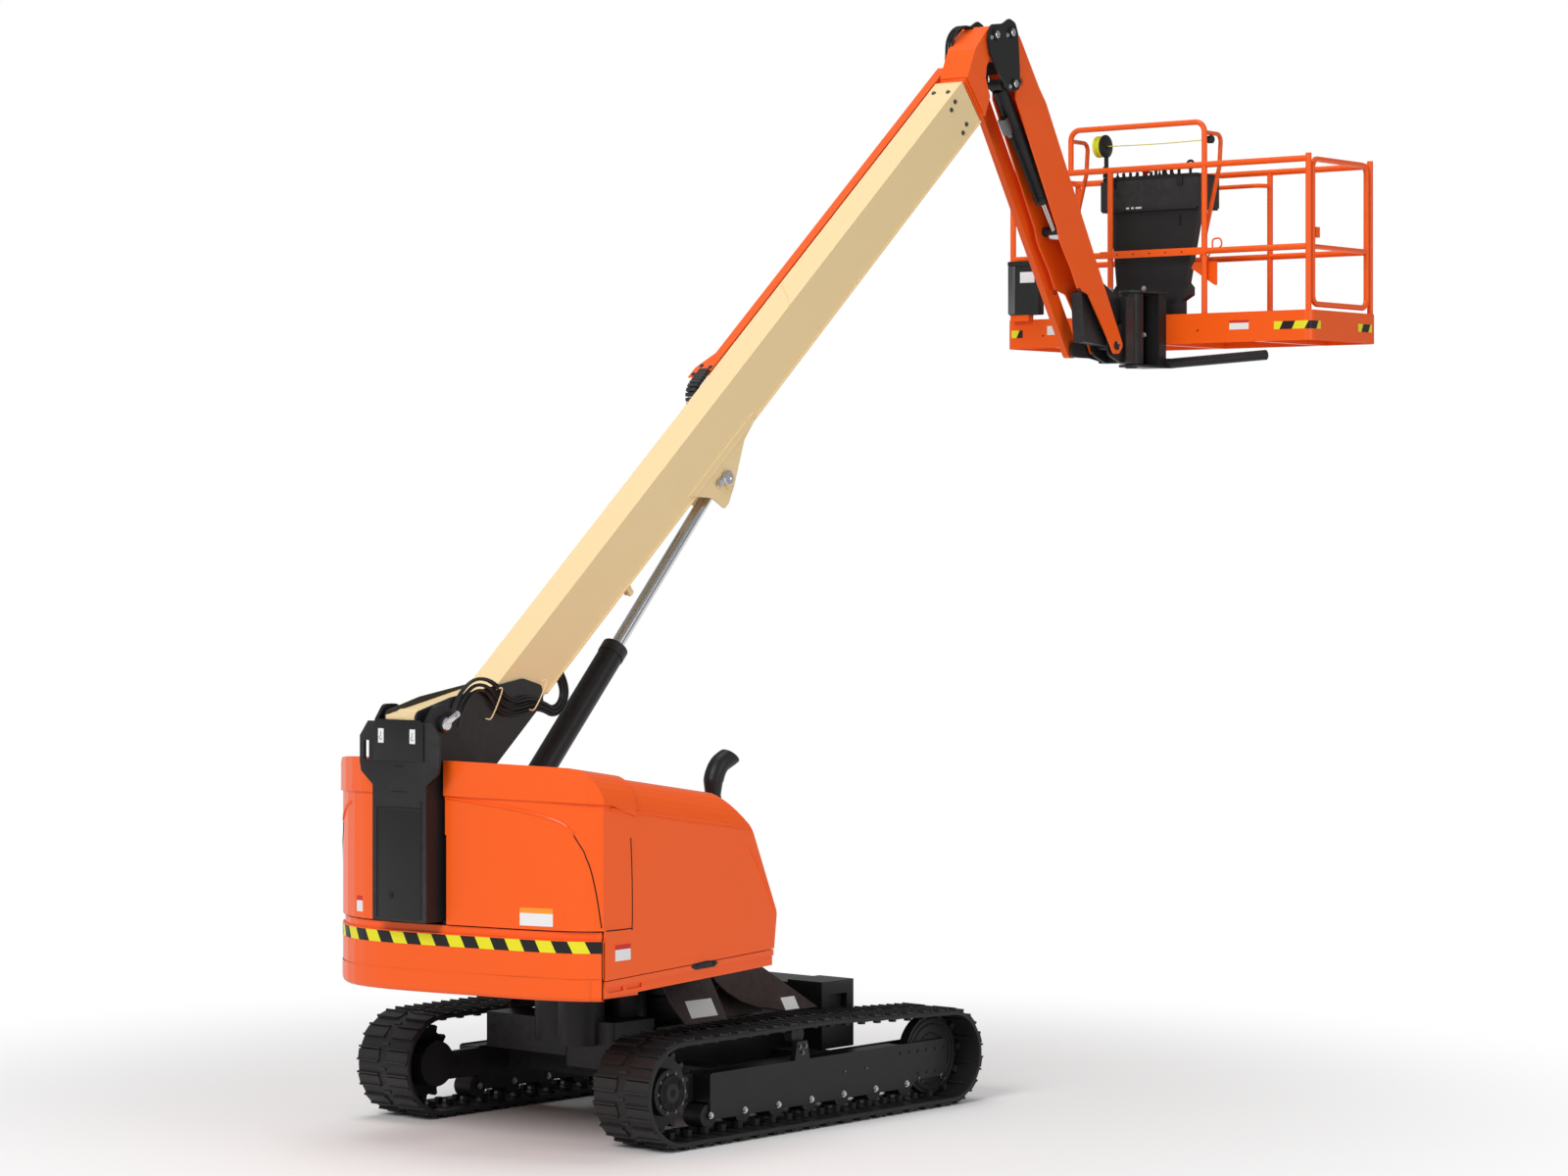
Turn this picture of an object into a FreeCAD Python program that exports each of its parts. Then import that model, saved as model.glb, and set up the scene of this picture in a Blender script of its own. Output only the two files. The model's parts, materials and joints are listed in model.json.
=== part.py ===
import FreeCAD, Part
import math
import os

# Compact crawler boom lift, millimetres, +Z up, +X forward along the boom,
# +Y to the left, origin on the ground under the swing centre.

V = FreeCAD.Vector
ROOT = os.path.dirname(os.path.abspath(__file__))
doc = FreeCAD.newDocument("crawler_boom_lift")

# ---------------------------------------------------------------- dimensions
DIMS = {
    # undercarriage
    "track_gauge_half": 922, "track_width": 406, "track_swing_deg": -3.2,
    "sprocket_x": -1130, "sprocket_z": 303, "idler_x": 1165, "idler_z": 283,
    "belt_outer_rear": 283, "belt_outer_front": 263, "belt_thick": 26, "lug_height": 18, "lug_pitch": 76,
    "frame_top": 366, "frame_bottom": 112,
    "roller_radius": 64, "roller_z": 132, "frame_outer": 974, "frame_inner": 812,
    "carbody_width": 900, "carbody_length": 1250, "carbody_bottom": 300, "carbody_top": 560, "cowl_top_y": 545, "cowl_top_z": 842,
    "bearing_radius": 430, "bearing_top": 690,
    # turntable
    "drum_bottom": 710, "deck_bottom": 872, "deck_thick": 56, "tail_corner_x": -1812, "boom_offset": 111,
    "body_right": -1020, "body_left": 860, "body_front": -360,
    "sill_bottom": 868, "sill_top": 957, "sill_slope_deg": 2.2, "hood_wall": 12,
    "cw_bottom": 852, "cw_top": 1215,
    "column_half": 195, "column_plate": 24,
    "engine_length": 730, "engine_width": 520, "engine_height": 491,
    # boom
    "pivot_x": -2030, "pivot_z": 2288, "boom_angle": 40,
    "boom_width": 206, "boom_height": 305, "boom_wall": 9, "boom_top": -193,
    "boom_start": 500, "boom_end": 6220,
    "fly_width": 168, "fly_height": 265, "fly_wall": 8, "fly_start": 700,
    "lift_barrel_radius": 74, "lift_rod_radius": 38, "lift_barrel_length": 1942, "lift_rod_foot": 1070,
    "lift_base_x": -1728.1, "lift_base_z": 1250, "lift_eye_along": 2780, "lift_eye_below": -636,
    # jib and platform
    "jib_length": 2329, "jib_half": 95, "jib_plate": 12, "jib_link_thick": 45,
    "jib_barrel_radius": 52, "jib_rod_radius": 26,
    "platform_rear_x": 5240, "rotator_gap": 280,
    "platform_length": 2440, "platform_width": 880, "floor_z": 4620, "rail_height": 1150,
    "toe_height": 200, "guard_top": 6060, "rail_inset": 36, "rail_radius": 21, "post_radius": 20,
}
sheet = doc.addObject("Spreadsheet::Sheet", "Dims")
for row, (name, value) in enumerate(DIMS.items(), start=1):
    sheet.set("A%d" % row, name)
    sheet.set("B%d" % row, str(value))
    sheet.setAlias("B%d" % row, name)
doc.recompute()


def dim(name):
    """Read one driving dimension back from the sheet."""
    return float(sheet.get(name))


PARTS = []
BOOM_Y = dim("boom_offset")
PIVOT = V(dim("pivot_x"), BOOM_Y, dim("pivot_z"))
BOOM_TURN = FreeCAD.Rotation(V(0, 1, 0), -dim("boom_angle"))
BOOM = FreeCAD.Placement(PIVOT, BOOM_TURN)
CHASSIS = FreeCAD.Placement(V(0, 0, 0), FreeCAD.Rotation(V(0, 0, 1), dim("track_swing_deg")))


# ------------------------------------------------------------------- helpers
def keep(obj, label, placement=None):
    """Name a sub-part, place it and put it on the list that is written out."""
    obj.Label = label
    if placement is not None:
        obj.Placement = placement
    PARTS.append(obj)
    return obj


def origin_plane(body, role):
    """Return the body's own base plane with the given role."""
    for feature in body.Origin.OriginFeatures:
        if feature.Role == role:
            return feature
    raise ValueError(role)


def outline_sketch(body, role, loops, offset=0.0, name="Outline"):
    """Sketch closed loops on one base plane. A loop is a list of points, or ("circle", x, y, r)."""
    sketch = body.newObject("Sketcher::SketchObject", name)
    sketch.AttachmentSupport = [(origin_plane(body, role), "")]
    sketch.MapMode = "FlatFace"
    sketch.AttachmentOffset = FreeCAD.Placement(V(0, 0, offset), FreeCAD.Rotation())
    for loop in loops:
        if loop[0] == "circle":
            sketch.addGeometry(Part.Circle(V(loop[1], loop[2], 0), V(0, 0, 1), loop[3]), False)
            continue
        points = [V(p[0], p[1], 0) for p in loop]
        edges = [Part.LineSegment(a, b) for a, b in zip(points, points[1:] + points[:1])]
        sketch.addGeometry(edges, False)
    return sketch


def pad(body, role, loops, length, offset=0.0, both=False, name="Pad"):
    """Pad closed loops; length is a number or the name of a dimension."""
    sketch = outline_sketch(body, role, loops, offset, name + "Outline")
    feature = body.newObject("PartDesign::Pad", name)
    feature.Profile = sketch
    if isinstance(length, str):
        feature.setExpression("Length", "<<Dims>>." + length)
    else:
        feature.Length = length
    if both:
        feature.Midplane = True
    return feature


def new_body(name):
    """Start a PartDesign body that may hold separate solids."""
    body = doc.addObject("PartDesign::Body", name)
    if hasattr(body, "AllowCompound"):
        body.AllowCompound = True
    return body


def rounded(points, radii):
    """Round the corners of a closed polygon; radii is one number or one per corner."""
    if not isinstance(radii, (list, tuple)):
        radii = [radii] * len(points)
    result = []
    count = len(points)
    for i, (corner, radius) in enumerate(zip(points, radii)):
        before, after = points[i - 1], points[(i + 1) % count]
        if radius <= 0:
            result.append(corner)
            continue
        ux, uy = before[0] - corner[0], before[1] - corner[1]
        vx, vy = after[0] - corner[0], after[1] - corner[1]
        lu, lv = math.hypot(ux, uy), math.hypot(vx, vy)
        ux, uy, vx, vy = ux / lu, uy / lu, vx / lv, vy / lv
        angle = math.acos(max(-1.0, min(1.0, ux * vx + uy * vy)))
        cut = min(radius / math.tan(angle / 2), 0.49 * lu, 0.49 * lv)
        radius = cut * math.tan(angle / 2)
        bx, by = ux + vx, uy + vy
        lb = math.hypot(bx, by)
        reach = radius / math.sin(angle / 2)
        cx, cy = corner[0] + bx / lb * reach, corner[1] + by / lb * reach
        start = math.atan2(corner[1] + uy * cut - cy, corner[0] + ux * cut - cx)
        end = math.atan2(corner[1] + vy * cut - cy, corner[0] + vx * cut - cx)
        sweep = (end - start + math.pi) % (2 * math.pi) - math.pi
        steps = max(2, int(abs(sweep) / math.radians(15)))
        for k in range(steps + 1):
            a = start + sweep * k / steps
            result.append((cx + radius * math.cos(a), cy + radius * math.sin(a)))
    return result


def plate_y(outline, y_low, y_high, holes=()):
    """Solid from an XZ outline between two Y planes, with round holes (x, z, r)."""
    wire = Part.makePolygon([V(x, y_low, z) for x, z in outline + outline[:1]])
    solid = Part.Face(wire).extrude(V(0, y_high - y_low, 0))
    for x, z, r in holes:
        solid = solid.cut(Part.makeCylinder(r, y_high - y_low + 2, V(x, y_low - 1, z), V(0, 1, 0)))
    return solid


def plate_z(outline, z_low, z_high):
    """Solid from an XY outline between two heights."""
    wire = Part.makePolygon([V(x, y, z_low) for x, y in outline + outline[:1]])
    return Part.Face(wire).extrude(V(0, 0, z_high - z_low))


def box(x0, x1, y0, y1, z0, z1):
    """Axis-aligned block between the given planes."""
    return Part.makeBox(x1 - x0, y1 - y0, z1 - z0, V(x0, y0, z0))


def rod(a, b, radius):
    """Round bar between two points."""
    a, b = V(*a), V(*b)
    return Part.makeCylinder(radius, (b - a).Length, a, b - a)


def tube_path(points, bend, radius):
    """Round bar along straight runs joined by tangent arcs."""
    points = [V(*p) for p in points]
    edges = []
    cursor = points[0]
    for i in range(1, len(points) - 1):
        corner = points[i]
        u = (points[i - 1] - corner).normalize()
        w = (points[i + 1] - corner).normalize()
        angle = u.getAngle(w)
        cut = bend / math.tan(angle / 2)
        start, end = corner + u * cut, corner + w * cut
        bisector = (u + w).normalize()
        middle = corner + bisector * (bend / math.sin(angle / 2) - bend)
        if (start - cursor).Length > 1e-6:
            edges.append(Part.LineSegment(cursor, start).toShape())
        edges.append(Part.Arc(start, middle, end).toShape())
        cursor = end
    edges.append(Part.LineSegment(cursor, points[-1]).toShape())
    spine = Part.Wire(edges)
    first = points[1] - points[0]
    profile = Part.Wire([Part.Circle(points[0], first, radius).toShape()])
    return spine.makePipeShell([profile], True, False)


def fused(shapes):
    """Join shapes into one."""
    result = shapes[0]
    if len(shapes) > 1:
        result = result.fuse(shapes[1:])
    return result.removeSplitter()


def feature(name, shape, label, placement=None):
    """Hold a finished shape whose sizes were read from the sheet."""
    obj = doc.addObject("Part::Feature", name)
    obj.Shape = shape
    return keep(obj, label, placement)


# -------------------------------------------------------------- undercarriage
def belt_path(grow):
    """Points and outward directions along the belt's closed route, grown outward."""
    rear, front = (dim("sprocket_x"), dim("sprocket_z")), (dim("idler_x"), dim("idler_z"))
    r_rear = dim("belt_outer_rear") + grow
    r_front = dim("belt_outer_front") + grow
    crown_x, crown_z = 80.0, 592.0 + grow
    route = []

    def arc(centre, radius, start, end, steps):
        for k in range(steps + 1):
            a = math.radians(start + (end - start) * k / steps)
            route.append((centre[0] + radius * math.cos(a), centre[1] + radius * math.sin(a)))

    arc(front, r_front, -90, 84, 22)
    route.append((crown_x, crown_z))
    arc(rear, r_rear, 92, 270, 22)
    return route


def walk(route, count):
    """Even stations (x, z, nx, nz) along a closed anticlockwise route."""
    lengths = [math.dist(a, b) for a, b in zip(route, route[1:] + route[:1])]
    total = sum(lengths)
    step = total / count
    stations = []
    for k in range(count):
        left = (k + 0.5) * step
        i = 0
        while left > lengths[i]:
            left -= lengths[i]
            i += 1
        a, b = route[i], route[(i + 1) % len(route)]
        t = left / lengths[i]
        tx, tz = (b[0] - a[0]) / lengths[i], (b[1] - a[1]) / lengths[i]
        stations.append((a[0] + (b[0] - a[0]) * t, a[1] + (b[1] - a[1]) * t, tz, -tx))
    return stations


def track_outline():
    """Outer outline of the belt with every lug in it."""
    route = belt_path(0)
    total = sum(math.dist(a, b) for a, b in zip(route, route[1:] + route[:1]))
    count = int(round(total / dim("lug_pitch")))
    rise, half_top, half_root = dim("lug_height"), 12.0, 19.0
    outline = []
    for x, z, nx, nz in walk(route, count):
        tx, tz = -nz, nx
        for along, out in ((-half_root, 0), (-half_top, rise), (half_top, rise), (half_root, 0)):
            outline.append((x + tx * along + nx * out, z + tz * along + nz * out))
    return outline


def make_tracks():
    """Two rubber belts, each one closed loop with its lugs."""
    outer = track_outline()
    inner = belt_path(-dim("belt_thick"))
    for side, name in ((1, "track_left"), (-1, "track_right")):
        body = new_body(name.title().replace("_", ""))
        centre = side * dim("track_gauge_half")
        pad(body, "XZ_Plane", [outer, inner], "track_width", -centre, both=True)
        keep(body, name, CHASSIS)


def roller_stations():
    """Bottom roller centres along the side frame."""
    first, last, count = -757.0, 919.0, 7
    return [first + (last - first) * k / (count - 1) for k in range(count)]


def make_track_frames():
    """Side frames: a box beam with skirts over the rollers, end forks and the carrier roller's bracket."""
    top, bottom = dim("frame_top"), dim("frame_bottom")
    outer, inner, skirt = dim("frame_outer"), dim("frame_inner"), 14
    outline = rounded([(-760, bottom), (962, bottom), (1010, 150), (1285, 150), (1285, top), (-760, top)],
                      [20, 20, 20, 30, 20, 20])
    for side, name in ((1, "track_frame_left"), (-1, "track_frame_right")):
        def span(low, high):
            return sorted((side * low, side * high))
        shapes = [plate_y(outline, *span(outer - skirt, outer)), plate_y(outline, *span(inner, inner + skirt))]
        y0, y1 = span(inner, outer)
        shapes.append(box(-760, 900, y0, y1, 205, top - 6))
        y0, y1 = span(inner, inner + 34)
        drive = box(dim("sprocket_x"), -750, y0, y1, 200, top - 10)
        shapes.append(drive.cut(rod((dim("sprocket_x"), -1200, dim("sprocket_z")),
                                    (dim("sprocket_x"), 1200, dim("sprocket_z")), 129)))
        y0, y1 = span(outer - 34, outer)
        shapes.append(plate_y([(-60, top - 10), (70, top - 10), (48, 470), (-38, 470)], y0, y1))
        feature(name.title().replace("_", ""), fused(shapes), name, CHASSIS)


def make_rollers():
    """Front idlers, seven bottom rollers and a carrier roller on each side."""
    shapes = []
    for side in (1, -1):
        y = side * dim("track_gauge_half")
        for x in roller_stations():
            shapes.append(rod((x, side * (dim("frame_inner") + 16), dim("roller_z")),
                              (x, side * (dim("frame_outer") - 16), dim("roller_z")), dim("roller_radius")))
        wheel = rod((dim("idler_x"), y - 30, dim("idler_z")), (dim("idler_x"), y + 30, dim("idler_z")), 228)
        axle = rod((dim("idler_x"), side * (dim("frame_inner") + 15), dim("idler_z")),
                   (dim("idler_x"), side * (dim("frame_outer") - 15), dim("idler_z")), 60)
        shapes.append(fused([wheel, axle]))
        shapes.append(rod((5, side * (dim("frame_outer") - 35), 505), (5, y - side * 40, 505), 52))
    feature("Rollers", Part.makeCompound(shapes), "track_rollers", CHASSIS)


def make_drives():
    """Toothed drive sprockets with their round hub motors."""
    shapes = []
    teeth, root, tip = 15, 196.0, 226.0
    for side in (1, -1):
        y = side * dim("track_gauge_half")
        outline = []
        for k in range(teeth):
            for frac, r in ((0.0, root), (0.25, root), (0.4, tip), (0.6, tip), (0.75, root)):
                a = 2 * math.pi * (k + frac) / teeth
                outline.append((dim("sprocket_x") + r * math.cos(a), dim("sprocket_z") + r * math.sin(a)))
        wheel = plate_y(outline, y - 22, y + 22)
        hub = rod((dim("sprocket_x"), y - side * 150, dim("sprocket_z")),
                  (dim("sprocket_x"), y + side * 95, dim("sprocket_z")), 128)
        cap = rod((dim("sprocket_x"), y + side * 90, dim("sprocket_z")),
                  (dim("sprocket_x"), y + side * 118, dim("sprocket_z")), 92)
        shapes.append(fused([wheel, hub, cap]))
    feature("Drives", Part.makeCompound(shapes), "drive_sprockets", CHASSIS)


def make_carbody():
    """Welded centre frame with cross beams, pedestal and the two end boxes."""
    half_l, half_w = dim("carbody_length") / 2, dim("carbody_width") / 2
    low, high = dim("carbody_bottom"), dim("carbody_top")
    centre = box(-half_l, half_l, -half_w, half_w, low, high)
    reach = dim("frame_inner") - 0.5
    beams = [box(x - 90, x + 90, -reach, reach, 225, 350) for x in (-430, 430)]
    pedestal = Part.makeCylinder(dim("bearing_radius") + 15, 90, V(0, 0, high))
    ring = Part.makeCylinder(dim("bearing_radius"), dim("bearing_top") - high, V(0, 0, high))
    front = box(half_l - 2, half_l + 330, -330, 330, 380, 700)
    tank_plan = rounded([(-half_l - 330, -430), (-half_l + 2, -430), (-half_l + 2, -40), (-half_l - 330, -40)],
                        [50, 0, 0, 50])
    tank = plate_z(tank_plan, 350, 612)
    rear_box = box(-half_l - 300, -half_l + 2, -41, 585, 400, 598)
    side_box = box(490, 770, -700, -440, 350, 735).cut(box(560, 710, -720, -660, 560, 660))
    body = fused([centre, pedestal, ring, front, tank, rear_box, side_box] + beams)
    feature("Carbody", body, "carbody", CHASSIS)


def cowl_point(side, x, down):
    """Point on a cowl's sloping face, a distance down from its top edge."""
    lean = math.radians(60)
    return V(x, side * (dim("cowl_top_y") + down * math.cos(lean)), dim("cowl_top_z") - down * math.sin(lean))


def make_covers():
    """Sloping cowls each side of the swing bearing, with the arched cover between them."""
    shapes = []
    arch = [(-290, 0), (-265, 60), (-210, 130), (-130, 190), (-20, 236), (110, 262), (210, 282)]
    for side in (1, -1):
        rear = [(-700, 0), (-300, 0), (-300, 282), (-640, 282), (-690, 150)]
        front = [(-285, 0), (150, 0), (470, 282)] + list(reversed(arch[1:]))
        normal = V(0, side * math.sin(math.radians(60)), math.cos(math.radians(60)))
        for outline in (rear, front):
            points = [cowl_point(side, x, down) for x, down in outline]
            shapes.append(Part.Face(Part.makePolygon(points + points[:1])).extrude(normal * -10))
        cover = Part.makeCylinder(225, 26, V(-60, side * 504, 575), V(0, side, 0))
        shapes.append(cover.common(box(-300, 180, -800, 800, 585, 900)))
    feature("Covers", Part.makeCompound(shapes), "deck_covers", CHASSIS)


# ------------------------------------------------------------------ turntable
def smooth(points):
    """Closely spaced points along the smooth curve through the given ones."""
    curve = Part.BSplineCurve()
    curve.interpolate([V(x, y, 0) for x, y in points])
    return [(p.x, p.y) for p in curve.discretize(Number=22)]


def rear_plan(inset):
    """Plan of the rear end, from the right side round the tail to the left side."""
    right, left = dim("body_right") + inset, dim("body_left") - inset
    return smooth([(dim("tail_corner_x") + inset / 2, right), (-1868 + inset, right + 62), (-1950 + inset, -754),
                   (-2016 + inset, -339), (-2064 + inset, 55), (-2072 + inset, 407), (-2040 + inset, 561),
                   (-1930 + inset, 750), (dim("tail_corner_x") + inset / 2, left)])


def make_deck():
    """Turntable: bearing drum, deck above it, ties under the sills and the ribs that carry the column."""
    low, high = dim("deck_bottom"), dim("deck_bottom") + dim("deck_thick")
    plate = box(-1440, -420, -640, 640, low, high)
    link = box(-440, 300, -440, 560, low, high)
    drum = Part.makeCylinder(dim("bearing_radius") + 60, high - dim("drum_bottom"), V(0, 0, dim("drum_bottom")))
    bearing = Part.makeCylinder(dim("bearing_radius") - 20, 20, V(0, 0, dim("bearing_top") + 4))
    ties = [box(x, x + 90, dim("body_right") + 45, dim("body_left") - 45, low + 42, high)
            for x in (-1420, -560)]
    ribs = [box(-870, 250, y - 12, y + 12, high - 1, 1100) for y in (BOOM_Y - 178, BOOM_Y + 178)]
    feature("Deck", fused([plate, link, drum, bearing] + ties + ribs), "turntable_deck")


def make_counterweight():
    """Cast tail weight with a stepped rim."""
    def slab(inset, low, high):
        return plate_z(rear_plan(inset), low, high)
    low, high = dim("cw_bottom"), dim("cw_top")
    body = fused([slab(18, low, low + 120), slab(0, low + 120, high - 40), slab(16, high - 40, high)])
    half = dim("column_half") + 2
    slot = box(dim("pivot_x") + 22, -1400, BOOM_Y - half, BOOM_Y + half, low - 1, high + 1)
    belly = box(dim("tail_corner_x") - 40, -1460, dim("body_right") + 60, dim("body_left") - 60, low + 4, high - 42)
    feature("Counterweight", body.fuse(belly).cut(slot), "counterweight")


def make_column():
    """Upright of two side plates, a rear plate with ears, and the two cylinder and boom pins."""
    t = dim("column_plate")
    half = dim("column_half")
    px, pz = dim("pivot_x"), dim("pivot_z")
    rear = px - 120
    low = dim("deck_bottom") + dim("deck_thick")
    side_outline = rounded([(px + 26, low), (px + 26, 1236), (rear, 1236), (rear, pz + 20), (px - 60, pz + 100),
                            (px + 50, pz + 100), (px + 130, pz - 60), (px + 700, 1560), (px + 1150, 1320),
                            (px + 1150, low)], [0, 0, 0, 20, 40, 60, 80, 120, 60, 0])
    plates = [plate_y(side_outline, BOOM_Y + s * half - (t if s > 0 else 0), BOOM_Y + s * half + (0 if s > 0 else t))
              for s in (1, -1)]
    ear, neck, notch = 290, 150, 2120
    back = [(-half, cw_notch()), (-half, 1960), (-ear + 10, 2030), (-ear, 2080), (-ear, 2220), (-ear + 60, 2300),
            (-neck, 2300), (-neck, notch), (neck, notch), (neck, 2300),
            (ear - 60, 2300), (ear, 2220), (ear, 2080), (ear - 10, 2030), (half, 1960), (half, cw_notch())]
    wire = Part.makePolygon([V(rear - 15, BOOM_Y + y, z) for y, z in back + back[:1]])
    rear_plate = Part.Face(wire).extrude(V(16, 0, 0))
    eyelet = Part.makeBox(60, 34, 100, V(rear - 40, BOOM_Y + 222, 2095))
    rear_plate = rear_plate.cut(eyelet)
    lx, lz = dim("lift_base_x"), dim("lift_base_z")
    base_pin = rod((lx, BOOM_Y - half + 1, lz), (lx, BOOM_Y + half - 1, lz), 32)
    pin = rod((px, BOOM_Y - half - 22, pz), (px, BOOM_Y + half + 22, pz), 45)
    feature("Column", fused(plates + [rear_plate, base_pin, pin]), "boom_column")


def cw_notch():
    """Height at which the column's rear plate stops above the tail rim."""
    return 1235.0


def hood_form(side, inset):
    """Solid form of one hood: a loft that falls forward, trimmed by the rear curve and the sloping nose."""
    inner = BOOM_Y + side * 222
    outer = (dim("body_right") if side < 0 else dim("body_left")) - side * inset
    front, rise, drop = dim("body_front"), 2085 - inset, 1830 - inset
    sections = []
    for x, top in ((-2140, rise + 9.7), (front + 20, drop - 3)):
        bend = []
        for k in range(9):
            a = math.radians(90 * k / 8)
            bend.append((outer - side * 150 + side * 150 * math.sin(a), top - 190 + 190 * math.cos(a)))
        points = [(inner, 905), (inner, top)] + bend + [(outer, 905)]
        sections.append(Part.makePolygon([V(x, y, z) for y, z in points + points[:1]]))
    solid = Part.makeLoft(sections, True, True)
    plan = [(x, y) for x, y in rear_plan(inset)]
    inside = plate_z(plan + [(1000, dim("body_left") - inset), (1000, dim("body_right") + inset)], 860, 2400)
    solid = solid.common(inside)
    slope = rounded([(front + 200, 860), (front + 200, 2400), (-1000, 2400), (-800 - inset, drop + 90 - inset),
                     (-560 - inset, 1690), (-340 - inset, 1215), (-385 - inset, 860)], [0, 0, 0, 160, 160, 60, 0])
    return solid.cut(plate_y(slope, -2000, 2000))


def seam_height(x, lift=0.0):
    """Height of the seam between hood and sill, which rises toward the front."""
    return dim("sill_top") + lift + (x - dim("tail_corner_x")) * math.tan(math.radians(dim("sill_slope_deg")))


def below_seam(lift):
    """Everything under the seam, raised by lift."""
    return plate_y([(-2600, 700), (-2600, seam_height(-2600, lift)), (600, seam_height(600, lift)), (600, 700)],
                   -2000, 2000)


def hood_brow(side):
    """Rounded brow that overhangs the tail and sweeps forward and down to the door's seam."""
    plan = rear_plan(-14) + [(-1560, dim("body_left") + 14), (-1560, dim("body_right") - 14)]
    ring = plate_z(plan, 1700, 2105)
    inner = BOOM_Y + side * 222
    lane = box(-2300, -1500, min(inner, inner + side * 1400), max(inner, inner + side * 1400), 1700, 2105)
    under = plate_y([(-2300, 1700), (-1500, 1700), (-1500, 1790), (-1760, 1880), (-2300, 1930)], -2000, 2000)
    ring = ring.common(lane).cut(under)
    return ring.common(hood_form(side, -14))


def make_hoods():
    """Two lift-up hoods, each a thin shell with a brow, hinge barrels and a door seam."""
    for side, name in ((-1, "right"), (1, "left")):
        inner = BOOM_Y + side * 222
        skin = hood_form(side, 0).cut(hood_form(side, dim("hood_wall")))
        skin = skin.cut(box(-2600, 600, min(inner - side * 30, inner + side * 8),
                            max(inner - side * 30, inner + side * 8), 860, 1700))
        skin = skin.cut(below_seam(3))
        skin = skin.cut(box(-2600, dim("tail_corner_x") + 14, -2000, 2000, 850, dim("cw_top") + 8))
        brow = hood_brow(side).cut(hood_form(side, dim("hood_wall")))
        hinge = []
        slope = math.tan(math.radians(8.457))
        for x in (-1750, -900):
            a = V(x, inner, 2085 - (x + 2075) * slope)
            b = V(x + 220, inner, 2085 - (x + 220 + 2075) * slope)
            hinge.append(rod(a, b, 11))
        feature("Hood" + name, fused([skin, brow] + hinge), "hood_" + name)


def make_sills():
    """Fixed stepped sills below the hoods, with two recesses at the rear end."""
    shapes = []
    rear, front = dim("tail_corner_x") + 14, dim("body_front") - 8
    deep = dim("sill_top") - dim("sill_bottom")
    for side in (-1, 1):
        outer = dim("body_right") if side < 0 else dim("body_left")

        def strip(x0, x1, top, bottom, recess, depth):
            """A lengthwise strip between two drops below the seam, recessed from the outer face."""
            outline = [(x0, seam_height(x0, -bottom)), (x1, seam_height(x1, -bottom)),
                       (x1, seam_height(x1, -top)), (x0, seam_height(x0, -top))]
            ys = sorted((outer - side * recess, outer - side * (recess + depth)))
            return plate_y(outline, *ys)
        sill = fused([strip(rear, front, 2, 34, 2, 40), strip(rear, front, 30, deep, 12, 30)])
        for x in (rear + 40, rear + 190):
            sill = sill.cut(strip(x, x + 120, 44, 66, 8, 14))
        shapes.append(sill)
    feature("Sills", Part.makeCompound(shapes), "hood_sills")


def make_engine():
    """Engine as one plain block under the right hood."""
    block = doc.addObject("Part::Box", "Engine")
    for side, alias in (("Length", "engine_length"), ("Width", "engine_width"), ("Height", "engine_height")):
        block.setExpression(side, "<<Dims>>." + alias)
    keep(block, "engine_block", FreeCAD.Placement(V(-1350, -820, 929), FreeCAD.Rotation()))


def make_exhaust():
    """Exhaust pipe with an outward elbow at the top."""
    x, y = -160.0, -420.0
    pipe = tube_path([(x, y, 960), (x, y, 1960), (x + 150, y, 2070)], 90, 42)
    pipe = fused([pipe, box(x - 200, x + 60, y - 60, y + 60, 929, 962)])
    feature("Exhaust", pipe, "exhaust_stack")


# ----------------------------------------------------------------------- boom
def make_base_boom():
    """Box-section base boom with its raised heel and the cheeks for the lift rod."""
    half = dim("boom_width") / 2
    top = dim("boom_top")
    bottom = top - dim("boom_height")
    wall = dim("boom_wall")
    start, end = dim("boom_start"), dim("boom_end")
    tube = box(start, end, -half, half, bottom, top)
    bore = box(start - 1, end + 1, -half + wall, half - wall, bottom + wall, top - wall)
    heel = [(start + 20, top), (start, top), (-70, 118), (-118, 60), (-112, -60), (200, bottom),
            (start + 20, bottom)]
    heel_inner = [(start + 30, top - wall), (start - 4, top - wall), (-50, 90), (-96, 50), (-94, -50),
                  (208, bottom + wall), (start + 30, bottom + wall)]
    shell = plate_y(heel, -half, half).cut(plate_y(heel_inner, -half + wall, half - wall))
    hub = rod((0, -half, 0), (0, half, 0), 75)
    bored = fused([shell, tube.cut(bore), hub]).cut(rod((0, -half - 5, 0), (0, half + 5, 0), 45.05))
    strips = [box(800, end, y - 8, y + 8, bottom - 6, bottom + 2) for y in (-half, half)]
    eye_x, eye_z = dim("lift_eye_along"), dim("lift_eye_below")
    cheek = rounded([(2450, bottom + 40), (3230, bottom + 40), (3200, bottom - 6), (3060, bottom - 32),
                     (2812, -676), (2706, -722), (2660, -722), (2610, -600), (2500, bottom - 2)],
                    [0, 0, 20, 60, 30, 12, 12, 60, 20])
    cheeks = [plate_y(cheek, s * half - 6, s * half + 6) for s in (1, -1)]
    bosses = [rod((eye_x, s * 62, eye_z), (eye_x, s * (half + 16), eye_z), 34) for s in (1, -1)]
    keeper = [rod((2699, -half - 16, -566 - 24), (2699, -half - 2, -566 - 24), 14)]
    roller_tab = [box(1690, 1730, -half, 12 - half, bottom - 64, bottom + 2),
                  rod((1710, -half, bottom - 50), (1710, 40 - half, bottom - 50), 18)]
    feature("BaseBoom", fused([bored] + strips + cheeks + bosses + keeper + roller_tab), "base_boom", BOOM)


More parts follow.
